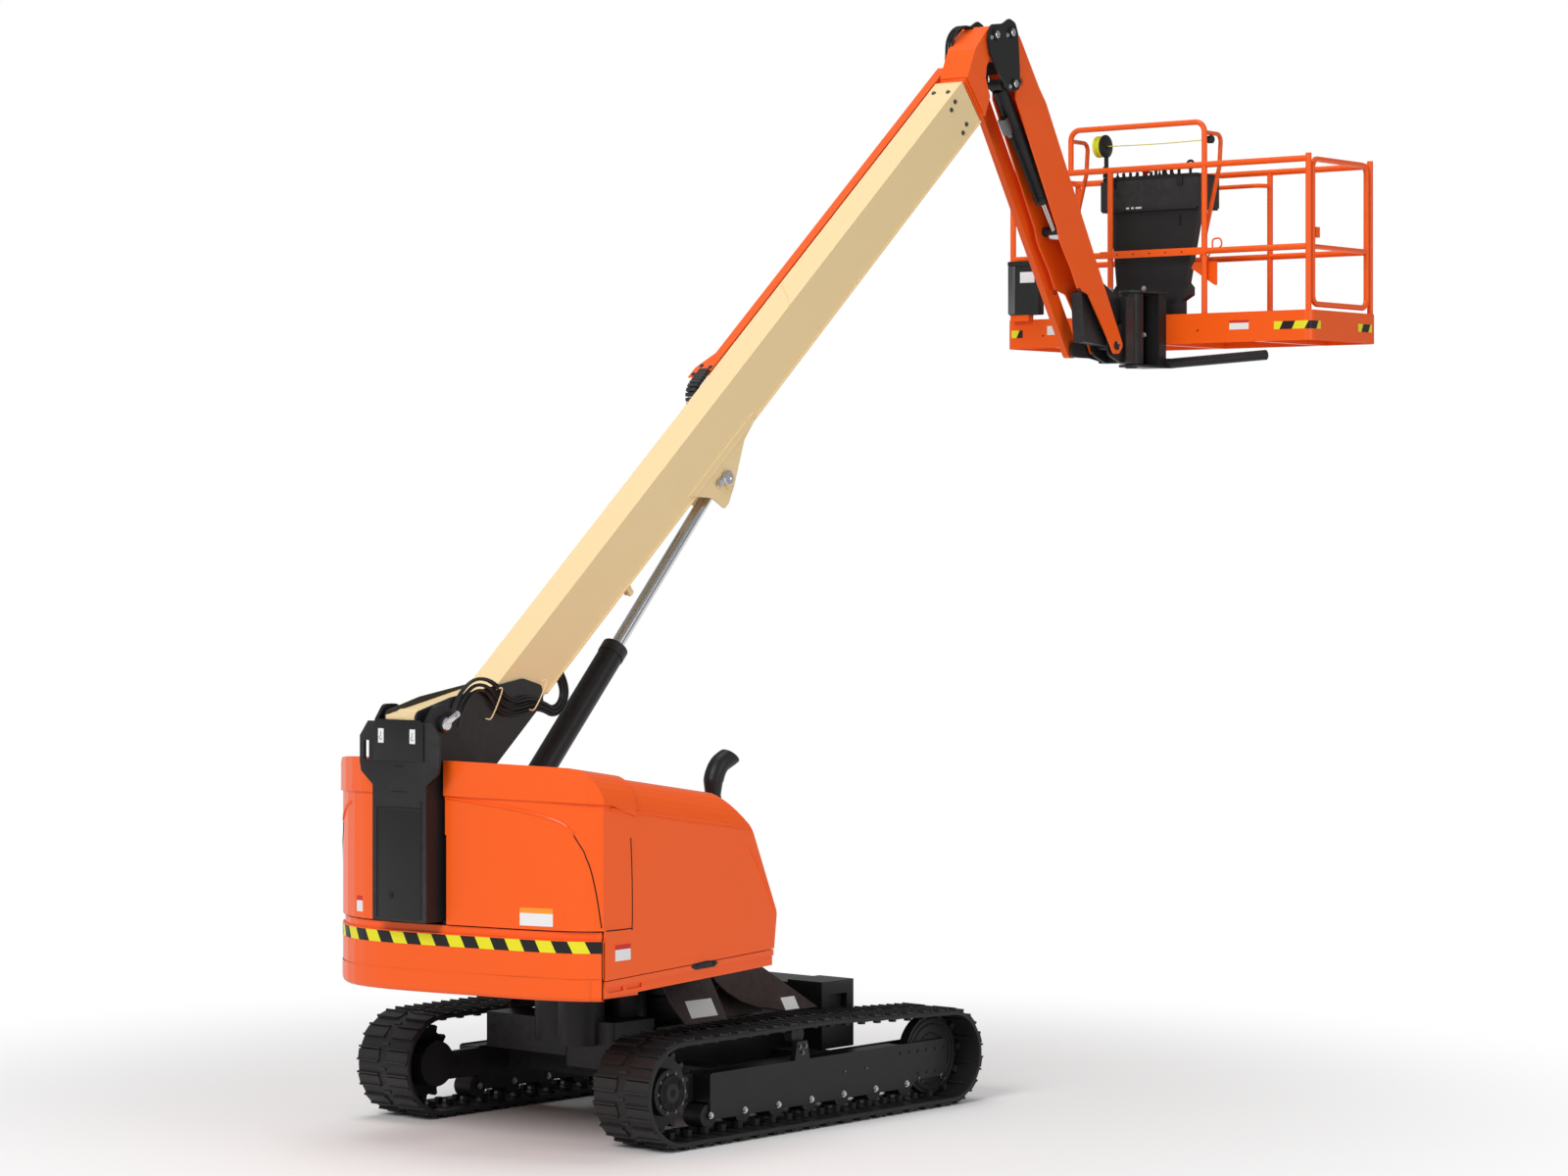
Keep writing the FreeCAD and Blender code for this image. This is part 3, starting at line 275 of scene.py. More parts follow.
# ---------------------------------------------------------------- finishes
@dataclass(frozen=True)
class Finish:
    """One finish of the machine: colour, gloss, grain, wear and dust."""

    name: str
    colour: Colour
    surface: Surface
    roughness: float
    grain_scale: float = 90.0
    grain_depth: float = 0.08
    wear: float = 0.15
    wear_colour: Colour = (0.35, 0.35, 0.36)
    dust: float = 0.10
    dust_colour: Colour = (0.42, 0.37, 0.31)
    coat: float = 0.0
    shine: float = 0.25
    slot: Optional[str] = None

    def build(self, groups: dict[str, bpy.types.NodeTree]) -> bpy.types.Material:
        """Make the material.

        Args:
            groups: the shared effects by name.

        Returns:
            The finished material.
        """
        material = bpy.data.materials.new(self.name)
        material.use_nodes = True
        graph = Graph(material.node_tree)
        grain = graph.add("ShaderNodeGroup", {"Scale": self.grain_scale, "Depth": self.grain_depth},
                          node_tree=groups["grain"])
        wear = graph.add("ShaderNodeGroup", {"Amount": self.wear}, node_tree=groups["wear"])["Mask"]
        dust = graph.add("ShaderNodeGroup", {"Amount": self.dust}, node_tree=groups["dust"])["Mask"]
        worn = graph.mix(self._paint(graph, groups), (*self.wear_colour, 1.0), wear)
        gloss = graph.add("ShaderNodeMapRange", {"Value": grain["Value"], "To Min": self.roughness * 0.85,
                                                 "To Max": min(1.0, self.roughness * 1.15)})
        graph.feed(graph.tree.nodes["Principled BSDF"], {
            "Base Color": graph.mix(worn, (*self.dust_colour, 1.0), dust),
            "Roughness": gloss["Result"],
            "Normal": grain["Normal"],
            "Metallic": 1.0 if self.surface is Surface.METAL else 0.0,
            "Specular IOR Level": self.shine,
            "Coat Weight": self.coat,
            "Coat Roughness": 0.08})
        return material

    def _paint(self, graph: Graph, groups: dict[str, bpy.types.NodeTree]) -> Union[Sequence[float], Socket]:
        """Return the plain colour that lies under the wear."""
        return (*self.colour, 1.0)


@dataclass(frozen=True)
class StripedFinish(Finish):
    """A finish with slanting stripes that follow the piece's own UV in metres."""

    second: Colour = (0.80, 0.74, 0.02)
    pitch: float = 0.19
    slant: float = -0.5

    def _paint(self, graph: Graph, groups: dict[str, bpy.types.NodeTree]) -> Socket:
        """Return the stripes that lie under the wear.

        Args:
            graph: the material's nodes.
            groups: the shared effects by name.

        Returns:
            The stripes' colour.
        """
        stripes = graph.add("ShaderNodeGroup", {"Pitch": self.pitch, "Slant": self.slant},
                            node_tree=groups["stripes"])
        return graph.mix((*self.colour, 1.0), (*self.second, 1.0), stripes["Mask"])


FINISHES = (
    Finish("orange_gloss", (0.92, 0.110, 0.006), Surface.PAINT, 0.30, coat=0.10, dust=0.015, wear=0.04,
           slot="orange_paint"),
    Finish("cream_satin", (0.86, 0.66, 0.36), Surface.PAINT, 0.48, coat=0.05, dust=0.02, wear=0.05,
           slot="cream_paint"),
    Finish("black_satin", BLACK, Surface.PAINT, 0.40, dust=0.02, slot="black_paint"),
    Finish("track_rubber", BLACK, Surface.RUBBER, 0.50, grain_depth=0.3, wear=0.03, dust=0.035,
           slot="track_rubber"),
    Finish("cast_dark", (0.015, 0.015, 0.016), Surface.PAINT, 0.44, grain_depth=0.15, dust=0.02,
           slot="cast_dark"),
    Finish("rod_chrome", (0.62, 0.62, 0.64), Surface.METAL, 0.18, grain_depth=0.02, wear=0.0, dust=0.0,
           slot="rod_chrome"),
    Finish("console_plastic", BLACK, Surface.PLASTIC, 0.5, grain_depth=0.2, slot="console_plastic"),
    Finish("cowl_brown", (0.026, 0.009, 0.008), Surface.PAINT, 0.45, dust=0.01, slot="cast_dark"),
    Finish("bright_zinc", (0.60, 0.60, 0.60), Surface.METAL, 0.32, wear=0.0, dust=0.03),
    Finish("grey_steel", (0.16, 0.16, 0.165), Surface.METAL, 0.38, wear=0.1, dust=0.05),
    Finish("hose_rubber", (0.012, 0.012, 0.013), Surface.RUBBER, 0.35, grain_depth=0.05, wear=0.0,
           dust=0.02),
    Finish("seam_dark", (0.012, 0.008, 0.007), Surface.PAINT, 0.8, wear=0.0, dust=0.0),
    Finish("label_white", (0.80, 0.80, 0.80), Surface.PRINT, 0.45, grain_depth=0.02, wear=0.0, dust=0.0),
    Finish("label_red", (0.62, 0.03, 0.02), Surface.PRINT, 0.45, grain_depth=0.02, wear=0.0, dust=0.0),
    Finish("label_amber", (0.90, 0.30, 0.03), Surface.PRINT, 0.45, grain_depth=0.02, wear=0.0, dust=0.0),
    Finish("reel_yellow", (0.72, 0.74, 0.03), Surface.PLASTIC, 0.42, wear=0.0, dust=0.02),
    Finish("button_red", (0.55, 0.015, 0.03), Surface.PLASTIC, 0.35, wear=0.0, dust=0.0),
    StripedFinish("hazard_stripes", (0.012, 0.012, 0.012), Surface.PRINT, 0.42, grain_depth=0.02, wear=0.0,
                  dust=0.02),
)


class Wardrobe:
    """Every finish, built once and looked up by name."""

    made: dict[str, bpy.types.Material] = {}

    @classmethod
    def open(cls) -> None:
        """Build every finish."""
        groups = {name: getattr(Effects, name)() for name in ("grain", "dust", "wear", "stripes")}
        cls.made = {finish.name: finish.build(groups) for finish in FINISHES}

    @staticmethod
    def slot_of(name: str) -> Optional[str]:
        """Return the material slot that a finish belongs to, if it has one."""
        return next(finish.slot for finish in FINISHES if finish.name == name)


class Shell:
    """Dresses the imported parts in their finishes."""

    special = {"deck_covers": "cowl_brown"}

    def dress(self) -> int:
        """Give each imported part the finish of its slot.

        Returns:
            How many parts were dressed.
        """
        by_slot = {}
        for finish in FINISHES:
            by_slot.setdefault(finish.slot, finish.name)
        entries = frame["record"]["subparts"]
        for entry in entries:
            part, slot_name = frame["nodes"][entry["node"]], entry["material_slot"]
            finish = self.special.get(entry["node"], by_slot[slot_name])
            part.data.materials.clear()
            part.data.materials.append(Wardrobe.made[finish])
            LOG.info("dressed %s in %s", entry["node"], finish)
        return len(entries)


# ---------------------------------------------------------------- piece making
def circle(centre: Vector, across: Vector, up: Vector, sides: int) -> list[Vector]:
    """Return even points on the round line centre + across * cos + up * sin."""
    turns = [2 * math.pi * k / sides for k in range(sides)]
    return [centre + across * math.cos(a) + up * math.sin(a) for a in turns]


def heading(path: Sequence[Vector], index: int) -> Vector:
    """Return the direction of a path at one of its points."""
    return (path[min(index + 1, len(path) - 1)] - path[max(index - 1, 0)]).normalized()


def smooth_path(points: Sequence[Point], steps: int = 8) -> list[Vector]:
    """Close points on a smooth line through the given ones.

    Args:
        points: points that the line passes through.
        steps: points in each span.

    Returns:
        The points.
    """
    points = [Vector(p) for p in points]
    padded = [points[0] * 2 - points[1]] + points + [points[-1] * 2 - points[-2]]
    path = []
    for a, b, c, d in zip(padded, padded[1:], padded[2:], padded[3:]):
        for k in range(steps):
            t = k / steps
            path.append(0.5 * ((2 * b) + (c - a) * t + (2 * a - 5 * b + 4 * c - d) * t ** 2
                               + (3 * b - a - 3 * c + d) * t ** 3))
    return path + [points[-1]]


class Piece:
    """A mesh built up in one local space and finished as an object that rides on a body."""

    def __init__(self, name: str, body: str, finish: str, space: Space = YARD) -> None:
        """Start an empty piece.

        Args:
            name: name of the piece.
            body: body that it rides on.
            finish: name of its finish.
            space: the axes its sizes are given in.
        """
        self.name, self.body, self.finish, self.space = name, body, finish, space
        self.mesh = bmesh.new()
        self.mesh.loops.layers.uv.new("UVMap")

    def _ease(self, edges: Iterable[bmesh.types.BMEdge], width: float) -> None:
        """Ease edges by a width."""
        geom = list(dict.fromkeys(edges))
        bmesh.ops.bevel(self.mesh, geom=geom, offset=width, segments=2, profile=0.6, affect="EDGES")

    def block(self, low: Point, high: Point, bevel: float = 0.003,
              turn: Optional[Matrix] = None) -> "Piece":
        """Add a block with eased edges.

        Args:
            low: lowest corner.
            high: highest corner.
            bevel: width of the eased edges.
            turn: extra turn about the block's centre.

        Returns:
            The piece.
        """
        low, high = Vector(low), Vector(high)
        size = high - low
        place = Matrix.Translation((low + high) / 2) @ (turn or Matrix()) @ Matrix.Diagonal((*size, 1.0))
        made = bmesh.ops.create_cube(self.mesh, size=1.0, matrix=place)
        self._ease((edge for vert in made["verts"] for edge in vert.link_edges),
                   min(bevel, min(size) * 0.3))
        return self

    def skin(self, rings: Sequence[Sequence[Point]], ends: Ends) -> "Piece":
        """Join rings of points with faces. A ring of one point is a tip.

        Args:
            rings: points of each ring.
            ends: what closes the skin.

        Returns:
            The piece.
        """
        made = [[self.mesh.verts.new(point) for point in ring] for ring in rings]
        following = made[1:] + (made[:1] if ends is Ends.JOINED else [])
        for low, high in zip(made, following):
            for k in range(max(len(low), len(high))):
                turns = ((low, k), (low, k + 1), (high, k + 1), (high, k))
                corners = list(dict.fromkeys(ring[j % len(ring)] for ring, j in turns))
                if len(corners) > 2:
                    self.mesh.faces.new(corners)
        if ends is Ends.FILLED:
            self.mesh.faces.new(list(reversed(made[0])))
            self.mesh.faces.new(made[-1])
        return self

    def lathe(self, base: Point, along: Point, profile: Sequence[Pair], sides: int = 20) -> "Piece":
        """Turn a profile round an axis.

        Args:
            base: where the axis starts.
            along: direction of the axis.
            profile: (radius, distance along the axis) pairs.
            sides: number of sides.

        Returns:
            The piece.
        """
        turn = Vector(along).to_track_quat("Z", "Y").to_matrix()
        rings = []
        for radius, height in profile:
            centre = Vector(base) + turn.col[2] * height
            rings.append(circle(centre, turn.col[0] * radius, turn.col[1] * radius,
                                sides if radius > 0 else 1))
        return self.skin(rings, Ends.OPEN)

    def rod(self, start: Point, end: Point, radius: float, ease: float = 0.002, sides: int = 20) -> "Piece":
        """Add a round bar with eased ends.

        Args:
            start: centre of one end.
            end: centre of the other end.
            radius: radius of the bar.
            ease: size of the eased rims.
            sides: number of sides.

        Returns:
            The piece.
        """
        along = Vector(end) - Vector(start)
        length = along.length
        ease = min(ease, radius * 0.4, length * 0.3)
        profile = [(0, 0), (radius - ease, 0), (radius, ease), (radius, length - ease),
                   (radius - ease, length), (0, length)]
        return self.lathe(start, along, profile, sides)

    def studs(self, centres: Sequence[Point], way: Point, stand: Pair, radius: float, ease: float,
              sides: int = 12) -> "Piece":
        """Add short round bars across a face.

        Args:
            centres: where their axes meet the face.
            way: direction that the face looks.
            stand: how far they start behind the face and how far they stand out.
            radius: radius of the bars.
            ease: size of the eased rims.
            sides: number of sides.

        Returns:
            The piece.
        """
        way = Vector(way)
        for centre in centres:
            self.rod(Vector(centre) - way * stand[0], Vector(centre) + way * stand[1], radius, ease, sides)
        return self

    def plate(self, outline: Sequence[Pair], levels: Pair, facing: Facing = Facing.Y,
              bevel: float = 0.0015) -> "Piece":
        """Add a flat plate from an outline.

        Args:
            outline: closed outline across the axis, as (x, z) for Y and (y, z) for X.
            levels: where the plate starts and ends along the axis.
            facing: axis that the plate faces.
            bevel: width of the eased edges.

        Returns:
            The piece.
        """
        lows, highs = ([self.mesh.verts.new([(*pair, level)[k] for k in facing.value]) for pair in outline]
                       for level in sorted(levels))
        faces = [self.mesh.faces.new(list(reversed(lows))), self.mesh.faces.new(highs)]
        ends = [edge for face in faces for edge in face.edges]
        for a, b, c, d in zip(lows, lows[1:] + lows[:1], highs[1:] + highs[:1], highs):
            faces.append(self.mesh.faces.new((a, b, c, d)))
        bmesh.ops.recalc_face_normals(self.mesh, faces=faces)
        self._ease(ends, bevel)
        return self

    def tube(self, path: Sequence[Point], radius: float, sides: int = 8) -> "Piece":
        """Sweep a round section along close points.

        Args:
            path: points of the path.
            radius: radius of the section.
            sides: number of sides.

        Returns:
            The piece.
        """
        path = [Vector(p) for p in path]
        rings, side = [], None
        for k, here in enumerate(path):
            ahead = heading(path, k)
            side = (ahead.orthogonal() if side is None else side - ahead * side.dot(ahead)).normalized()
            rings.append(circle(here, side * radius, ahead.cross(side) * radius, sides))
        return self.skin(rings, Ends.FILLED)

    def arc(self, centre: Point, normal: Point, radius: float, thick: float,
            sweep: Pair = (0.0, 360.0)) -> "Piece":
        """Add a ring or a part of one.

        Args:
            centre: centre of the ring.
            normal: direction that the ring faces.
            radius: radius to the middle of the bar.
            thick: radius of the bar.
            sweep: where it starts and how far it goes round, in degrees.

        Returns:
            The piece.
        """
        turn = Vector(normal).to_track_quat("Z", "Y").to_matrix()
        start, degrees = sweep
        steps = max(8, int(degrees / 12))
        turns = [math.radians(start + degrees * k / steps) for k in range(steps + 1)]
        path = [Vector(centre) + turn @ Vector((radius * math.cos(a), radius * math.sin(a), 0))
                for a in turns]
        return self.tube(path, thick)

    def _sort(self) -> None:
        """Sort points and faces by place, since easing edges leaves an order that varies between runs."""
        for items, place in ((self.mesh.verts, lambda vert: vert.co[:]),
                             (self.mesh.faces, lambda face: face.calc_center_median()[:])):
            rank = {item: k for k, item in enumerate(sorted(items, key=place))}
            items.sort(key=rank.get)

    def done(self) -> bpy.types.Object:
        """Place, shade and dress the piece, and let it ride on its body.

        Returns:
            The finished object.
        """
        bmesh.ops.recalc_face_normals(self.mesh, faces=self.mesh.faces)
        self._sort()
        self.mesh.transform(self.space.matrix())
        data = bpy.data.meshes.new(self.name)
        self.mesh.to_mesh(data)
        self.mesh.free()
        return settle(data, self.name, self.body, self.finish)


def settle(data: bpy.types.Mesh, name: str, body: str, finish: str) -> bpy.types.Object:
    """Make an object of a finished mesh, dress it and let it ride.

    Args:
        data: the mesh, already in its place.
        name: name of the piece.
        body: body that it rides on.
        finish: name of its finish.

    Returns:
        The object.
    """
    data.polygons.foreach_set("use_smooth", [True] * len(data.polygons))
    data.set_sharp_from_angle(angle=math.radians(SHARP_DEG))
    data.materials.clear()
    data.materials.append(Wardrobe.made[finish])
    data.name = name
    made = bpy.data.objects.new(name, data)
    bpy.context.scene.collection.objects.link(made)
    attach(made, body)
    slot = Wardrobe.slot_of(finish)
    LOG.info("%s rides on %s in %s", name, body, finish)
    return made


def evaluated(made: bpy.types.Object) -> bpy.types.Mesh:
    """Return the plain mesh of an object with its modifiers applied."""
    return bpy.data.meshes.new_from_object(made.evaluated_get(bpy.context.evaluated_depsgraph_get()))


def wrapped(data: bpy.types.Mesh, target: str, lift: float, project: bool) -> bpy.types.Mesh:
    """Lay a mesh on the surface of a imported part.

    Args:
        data: the mesh to lay down.
        target: name of the part.
        lift: how far above the surface it lies.
        project: along its own normals, or to the nearest place.

    Returns:
        The laid mesh.
    """
    loose = bpy.data.objects.new(data.name + "_loose", data)
    bpy.context.scene.collection.objects.link(loose)
    wrap = loose.modifiers.new("wrap", "SHRINKWRAP")
    wrap.target = frame["nodes"][target]
    wrap.offset = lift
    if project:
        wrap.wrap_method = "PROJECT"
        wrap.use_negative_direction = wrap.use_positive_direction = True
        wrap.project_limit = REACH
    else:
        wrap.wrap_method = "NEAREST_SURFACEPOINT"
        wrap.wrap_mode = "OUTSIDE_SURFACE"
    result = evaluated(loose)
    bpy.data.objects.remove(loose)
    return result


def ribbon(name: str, path: Sequence[Vector], up: Vector, edges: Pair, rows: int = 2) -> bpy.types.Mesh:
    """Make a strip that follows a path, with its length and height as UV in metres.

    Args:
        name: name of the mesh.
        path: close points along the strip.
        up: direction across the strip.
        edges: lower and upper edge across the path.
        rows: rows of faces across it.

    Returns:
        The mesh.
    """
    mesh = bmesh.new()
    layer = mesh.loops.layers.uv.new("UVMap")
    low, high = edges
    run, grid, place = 0.0, [], {}
    for k, here in enumerate(path):
        run += (here - path[k - 1]).length if k else 0.0
        heights = [low + (high - low) * j / rows for j in range(rows + 1)]
        grid.append([mesh.verts.new(here + up * height) for height in heights])
        place.update({vert: (run, height) for vert, height in zip(grid[-1], heights)})
    for left, right in zip(grid, grid[1:]):
        for j in range(rows):
            face = mesh.faces.new((left[j], right[j], right[j + 1], left[j + 1]))
            for loop in face.loops:
                loop[layer].uv = place[loop.vert]
    data = bpy.data.meshes.new(name)
    mesh.to_mesh(data)
    mesh.free()
    return data


@dataclass(frozen=True)
class Plate:
    """A blank printed plate that lies on a part, with a coloured bar along its top."""

    name: str
    body: str
    target: str
    centre: Point
    right: Point
    size: Pair
    bar: Optional[str] = None
    up: Point = (0.0, 0.0, 1.0)
    bar_share: float = 0.3
    mesh_step: float = 0.02

    def lay(self) -> None:
        """Make the plate and its bar."""
        right, up = Vector(self.right).normalized(), Vector(self.up).normalized()
        width, height = self.size
        top = 1.0 - self.bar_share if self.bar else 1.0
        columns = max(4, int(width / self.mesh_step))
        path = [Vector(self.centre) + right * (width * (k / columns - 0.5)) for k in range(columns + 1)]
        for name, finish, start, end in ((self.name, "label_white", 0.0, top),
                                         (self.name + "_bar", self.bar, top, 1.0)):
            if finish:
                rows = max(2, int(height * (end - start) / self.mesh_step))
                strip = ribbon(name, path, up, (height * (start - 0.5), height * (end - 0.5)), rows)
                settle(wrapped(strip, self.target, LIFT, True), name, self.body, finish)


def seam(name: str, body: str, target: str, points: Sequence[Point], width: float = 0.0035,
         finish: str = "seam_dark") -> None:
    """Draw a line that lies on a part: a panel gap or a raised edge.

    Args:
        name: name of the line.
        body: body that it rides on.
        target: part that it lies on.
        points: rough points near the surface.
        width: half the width of the line.
        finish: its finish.
    """
    data = bpy.data.meshes.new(name + "_route")
    data.from_pydata([tuple(p) for p in smooth_path(points)], [], [])
    laid = wrapped(data, target, -SINK, False)
    Piece(name, body, finish).tube([v.co.copy() for v in laid.vertices], width).done()


@dataclass(frozen=True)
class Hose:
    """A hose fixed at both ends, on one smooth spline through its local route."""

    name: str
    body: str
    space: Space
    route: Sequence[Point]
    diameter: float

    def hang(self) -> None:
        """Make the hose."""
        curve = bpy.data.curves.new(self.name, "CURVE")
        curve.dimensions = "3D"
        curve.resolution_u = 8
        spline = curve.splines.new("NURBS")
        spline.points.add(len(self.route) - 1)
        for point, local in zip(spline.points, self.route):
            point.co = (*self.space.place(local), 1.0)
        spline.order_u = 3
        spline.use_endpoint_u = True
        hose = bpy.data.objects.new(self.name, curve)
        bpy.context.scene.collection.objects.link(hose)
        line = [vert.co for vert in evaluated(hose).vertices]
        curve.bevel_depth = self.diameter / 2
        curve.bevel_resolution = 3
        curve.use_fill_caps = True
        curve.materials.append(Wardrobe.made["hose_rubber"])
        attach(hose, self.body)
        tuple(self.space.place(self.route[0]))


# ---------------------------------------------------------------- repeats
class Repeats:
    """Node trees that set out what repeats: screws on points, and blocks along a line."""

    trees: dict[str, bpy.types.NodeTree] = {}

    @staticmethod
    def _open(name: str, sizes: dict[str, float]) -> Graph:
        """Start a tree with named sizes and a material."""
        inputs = {"Geometry": "NodeSocketGeometry", **sizes, "Material": "NodeSocketMaterial"}
        return Graph.group("GeometryNodeTree", name, inputs, {"Geometry": "NodeSocketGeometry"})

    @staticmethod
    def _read(graph: Graph, name: str) -> Socket:
        """Return the direction that each point carries under a name."""
        return graph.add("GeometryNodeInputNamedAttribute", {"Name": name},
                         data_type="FLOAT_VECTOR")["Attribute"]

    @staticmethod
    def _spread(graph: Graph, shape: Socket, rotation: Socket) -> bpy.types.NodeTree:
        """Set a shape on each point, and close the tree with Realize Instances and Set Material.

        Args:
            graph: the tree's graph.
            shape: what stands on each point.
            rotation: how it is turned there.

        Returns:
            The tree.
        """
        spread = graph.add("GeometryNodeInstanceOnPoints", {"Points": graph.start["Geometry"],
                                                            "Instance": shape, "Rotation": rotation})
        real = graph.add("GeometryNodeRealizeInstances", {"Geometry": spread["Instances"]})
        dressed = graph.add("GeometryNodeSetMaterial", {"Geometry": real["Geometry"],
                                                        "Material": graph.start["Material"]})
        return graph.close({"Geometry": dressed["Geometry"]})

    @classmethod
    def screws(cls) -> bpy.types.NodeTree:
        """Hexagon heads with washers on points that carry a facing.

        Returns:
            The tree.
        """
        graph = cls._open("screw_heads", {"Head Radius": 0.012, "Head Height": 0.009,
                                          "Washer Radius": 0.017, "Washer Height": 0.003})
        discs = []
        for label, sides, base in (("Head", 6, graph.start["Washer Height"]), ("Washer", 16, 0.0)):
            radius, height = graph.start[label + " Radius"], graph.start[label + " Height"]
            disc = graph.add("GeometryNodeMeshCylinder", {"Vertices": sides, "Radius": radius,
                                                          "Depth": height})
            middle = graph.math("MULTIPLY_ADD", height, 0.5, base)
            place = graph.add("ShaderNodeCombineXYZ", {"Z": middle})
            moved = graph.add("GeometryNodeTransform", {"Geometry": disc["Mesh"],
                                                        "Translation": place["Vector"]})
            discs.append(moved["Geometry"])
        both = graph.add("GeometryNodeJoinGeometry", {"Geometry": discs})
        turn = graph.add("FunctionNodeAlignRotationToVector", {"Vector": cls._read(graph, "facing")},
                         axis="Z")
        return cls._spread(graph, both["Geometry"], turn["Rotation"])

    @classmethod
    def bars(cls) -> bpy.types.NodeTree:
        """Blocks on points that carry a facing and a heading.

        Returns:
            The tree.
        """
        graph = cls._open("even_blocks", {"Length": 0.05, "Width": 0.16, "Height": 0.01})
        size = graph.add("ShaderNodeCombineXYZ", {"X": graph.start["Length"], "Y": graph.start["Width"],
                                                  "Z": graph.start["Height"]})
        block = graph.add("GeometryNodeMeshCube", {"Size": size["Vector"]})
        turn = graph.add("FunctionNodeAxesToRotation", {"Primary Axis": cls._read(graph, "facing"),
                                                        "Secondary Axis": cls._read(graph, "heading")},
                         primary_axis="Z", secondary_axis="X")
        return cls._spread(graph, block["Mesh"], turn["Rotation"])

    @classmethod
    def run(cls, tree_name: str, name: str, body: str, finish: str, points: Sequence[Point],
            vectors: dict[str, Sequence[Point]], sizes: dict[str, float]) -> None:
        """Run a tree over points and settle the plain mesh.

        Args:
            tree_name: which tree.
            name: name of the piece.
            body: body that it rides on.
            finish: name of its finish.
            points: world points.
            vectors: a world direction for each point, by attribute name.
            sizes: values of the named inputs.
        """
        if tree_name not in cls.trees:
            cls.trees[tree_name] = getattr(cls, tree_name)()
        tree = cls.trees[tree_name]
        data = bpy.data.meshes.new(name + "_points")
        data.from_pydata([tuple(p) for p in points], [], [])
        for label, values in vectors.items():
            store = data.attributes.new(label, "FLOAT_VECTOR", "POINT")
            store.data.foreach_set("vector", [c for value in values for c in value])
        carrier = bpy.data.objects.new(name + "_points", data)
        bpy.context.scene.collection.objects.link(carrier)
        modifier = carrier.modifiers.new("repeat", "NODES")
        modifier.node_group = tree
        inputs = {**{label: float(value) for label, value in sizes.items()},
                  "Material": Wardrobe.made[finish]}
        for item in tree.interface.items_tree:
            if item.in_out == "INPUT" and item.name in inputs:
                modifier[item.identifier] = inputs[item.name]
        result = evaluated(carrier)
        carrier.modifiers.remove(modifier)
        bpy.data.objects.remove(carrier)
        settle(result, name, body, finish)


def screws(name: str, body: str, space: Space, spots: Sequence[tuple[Point, Point]], radius: float = 0.012,
           finish: str = "bright_zinc") -> None:
    """Set hexagon screw heads on a body.

    Args:
        name: name of the piece.
        body: body that they ride on.
        space: axes of the spots.
        spots: (place, facing) of each head.
        radius: radius of the heads.
        finish: name of their finish.
    """
    sizes = {"Head Radius": radius, "Head Height": radius * 0.75, "Washer Radius": radius * 1.45,
             "Washer Height": radius * 0.22}
    Repeats.run("screws", name, body, finish, [space.place(place) for place, _ in spots],
                {"facing": [space.turn(facing) for _, facing in spots]}, sizes)


def blocks(name: str, body: str, finish: str, space: Space, spots: Sequence[tuple[Point, Point, Point]],
           size: Point) -> None:
    """Set equal blocks on a body.

    Args:
        name: name of the piece.
        body: body that they ride on.
        finish: name of their finish.
        space: axes of the spots.
        spots: (place, facing, heading) of each block.
        size: length, width and height of a block.
    """
    places, facings, headings = zip(*spots)
    vectors = {"facing": [space.turn(way) for way in facings],
               "heading": [space.turn(way) for way in headings]}
    Repeats.run("bars", name, body, finish, [space.place(place) for place in places], vectors,
                dict(zip(("Length", "Width", "Height"), size)))


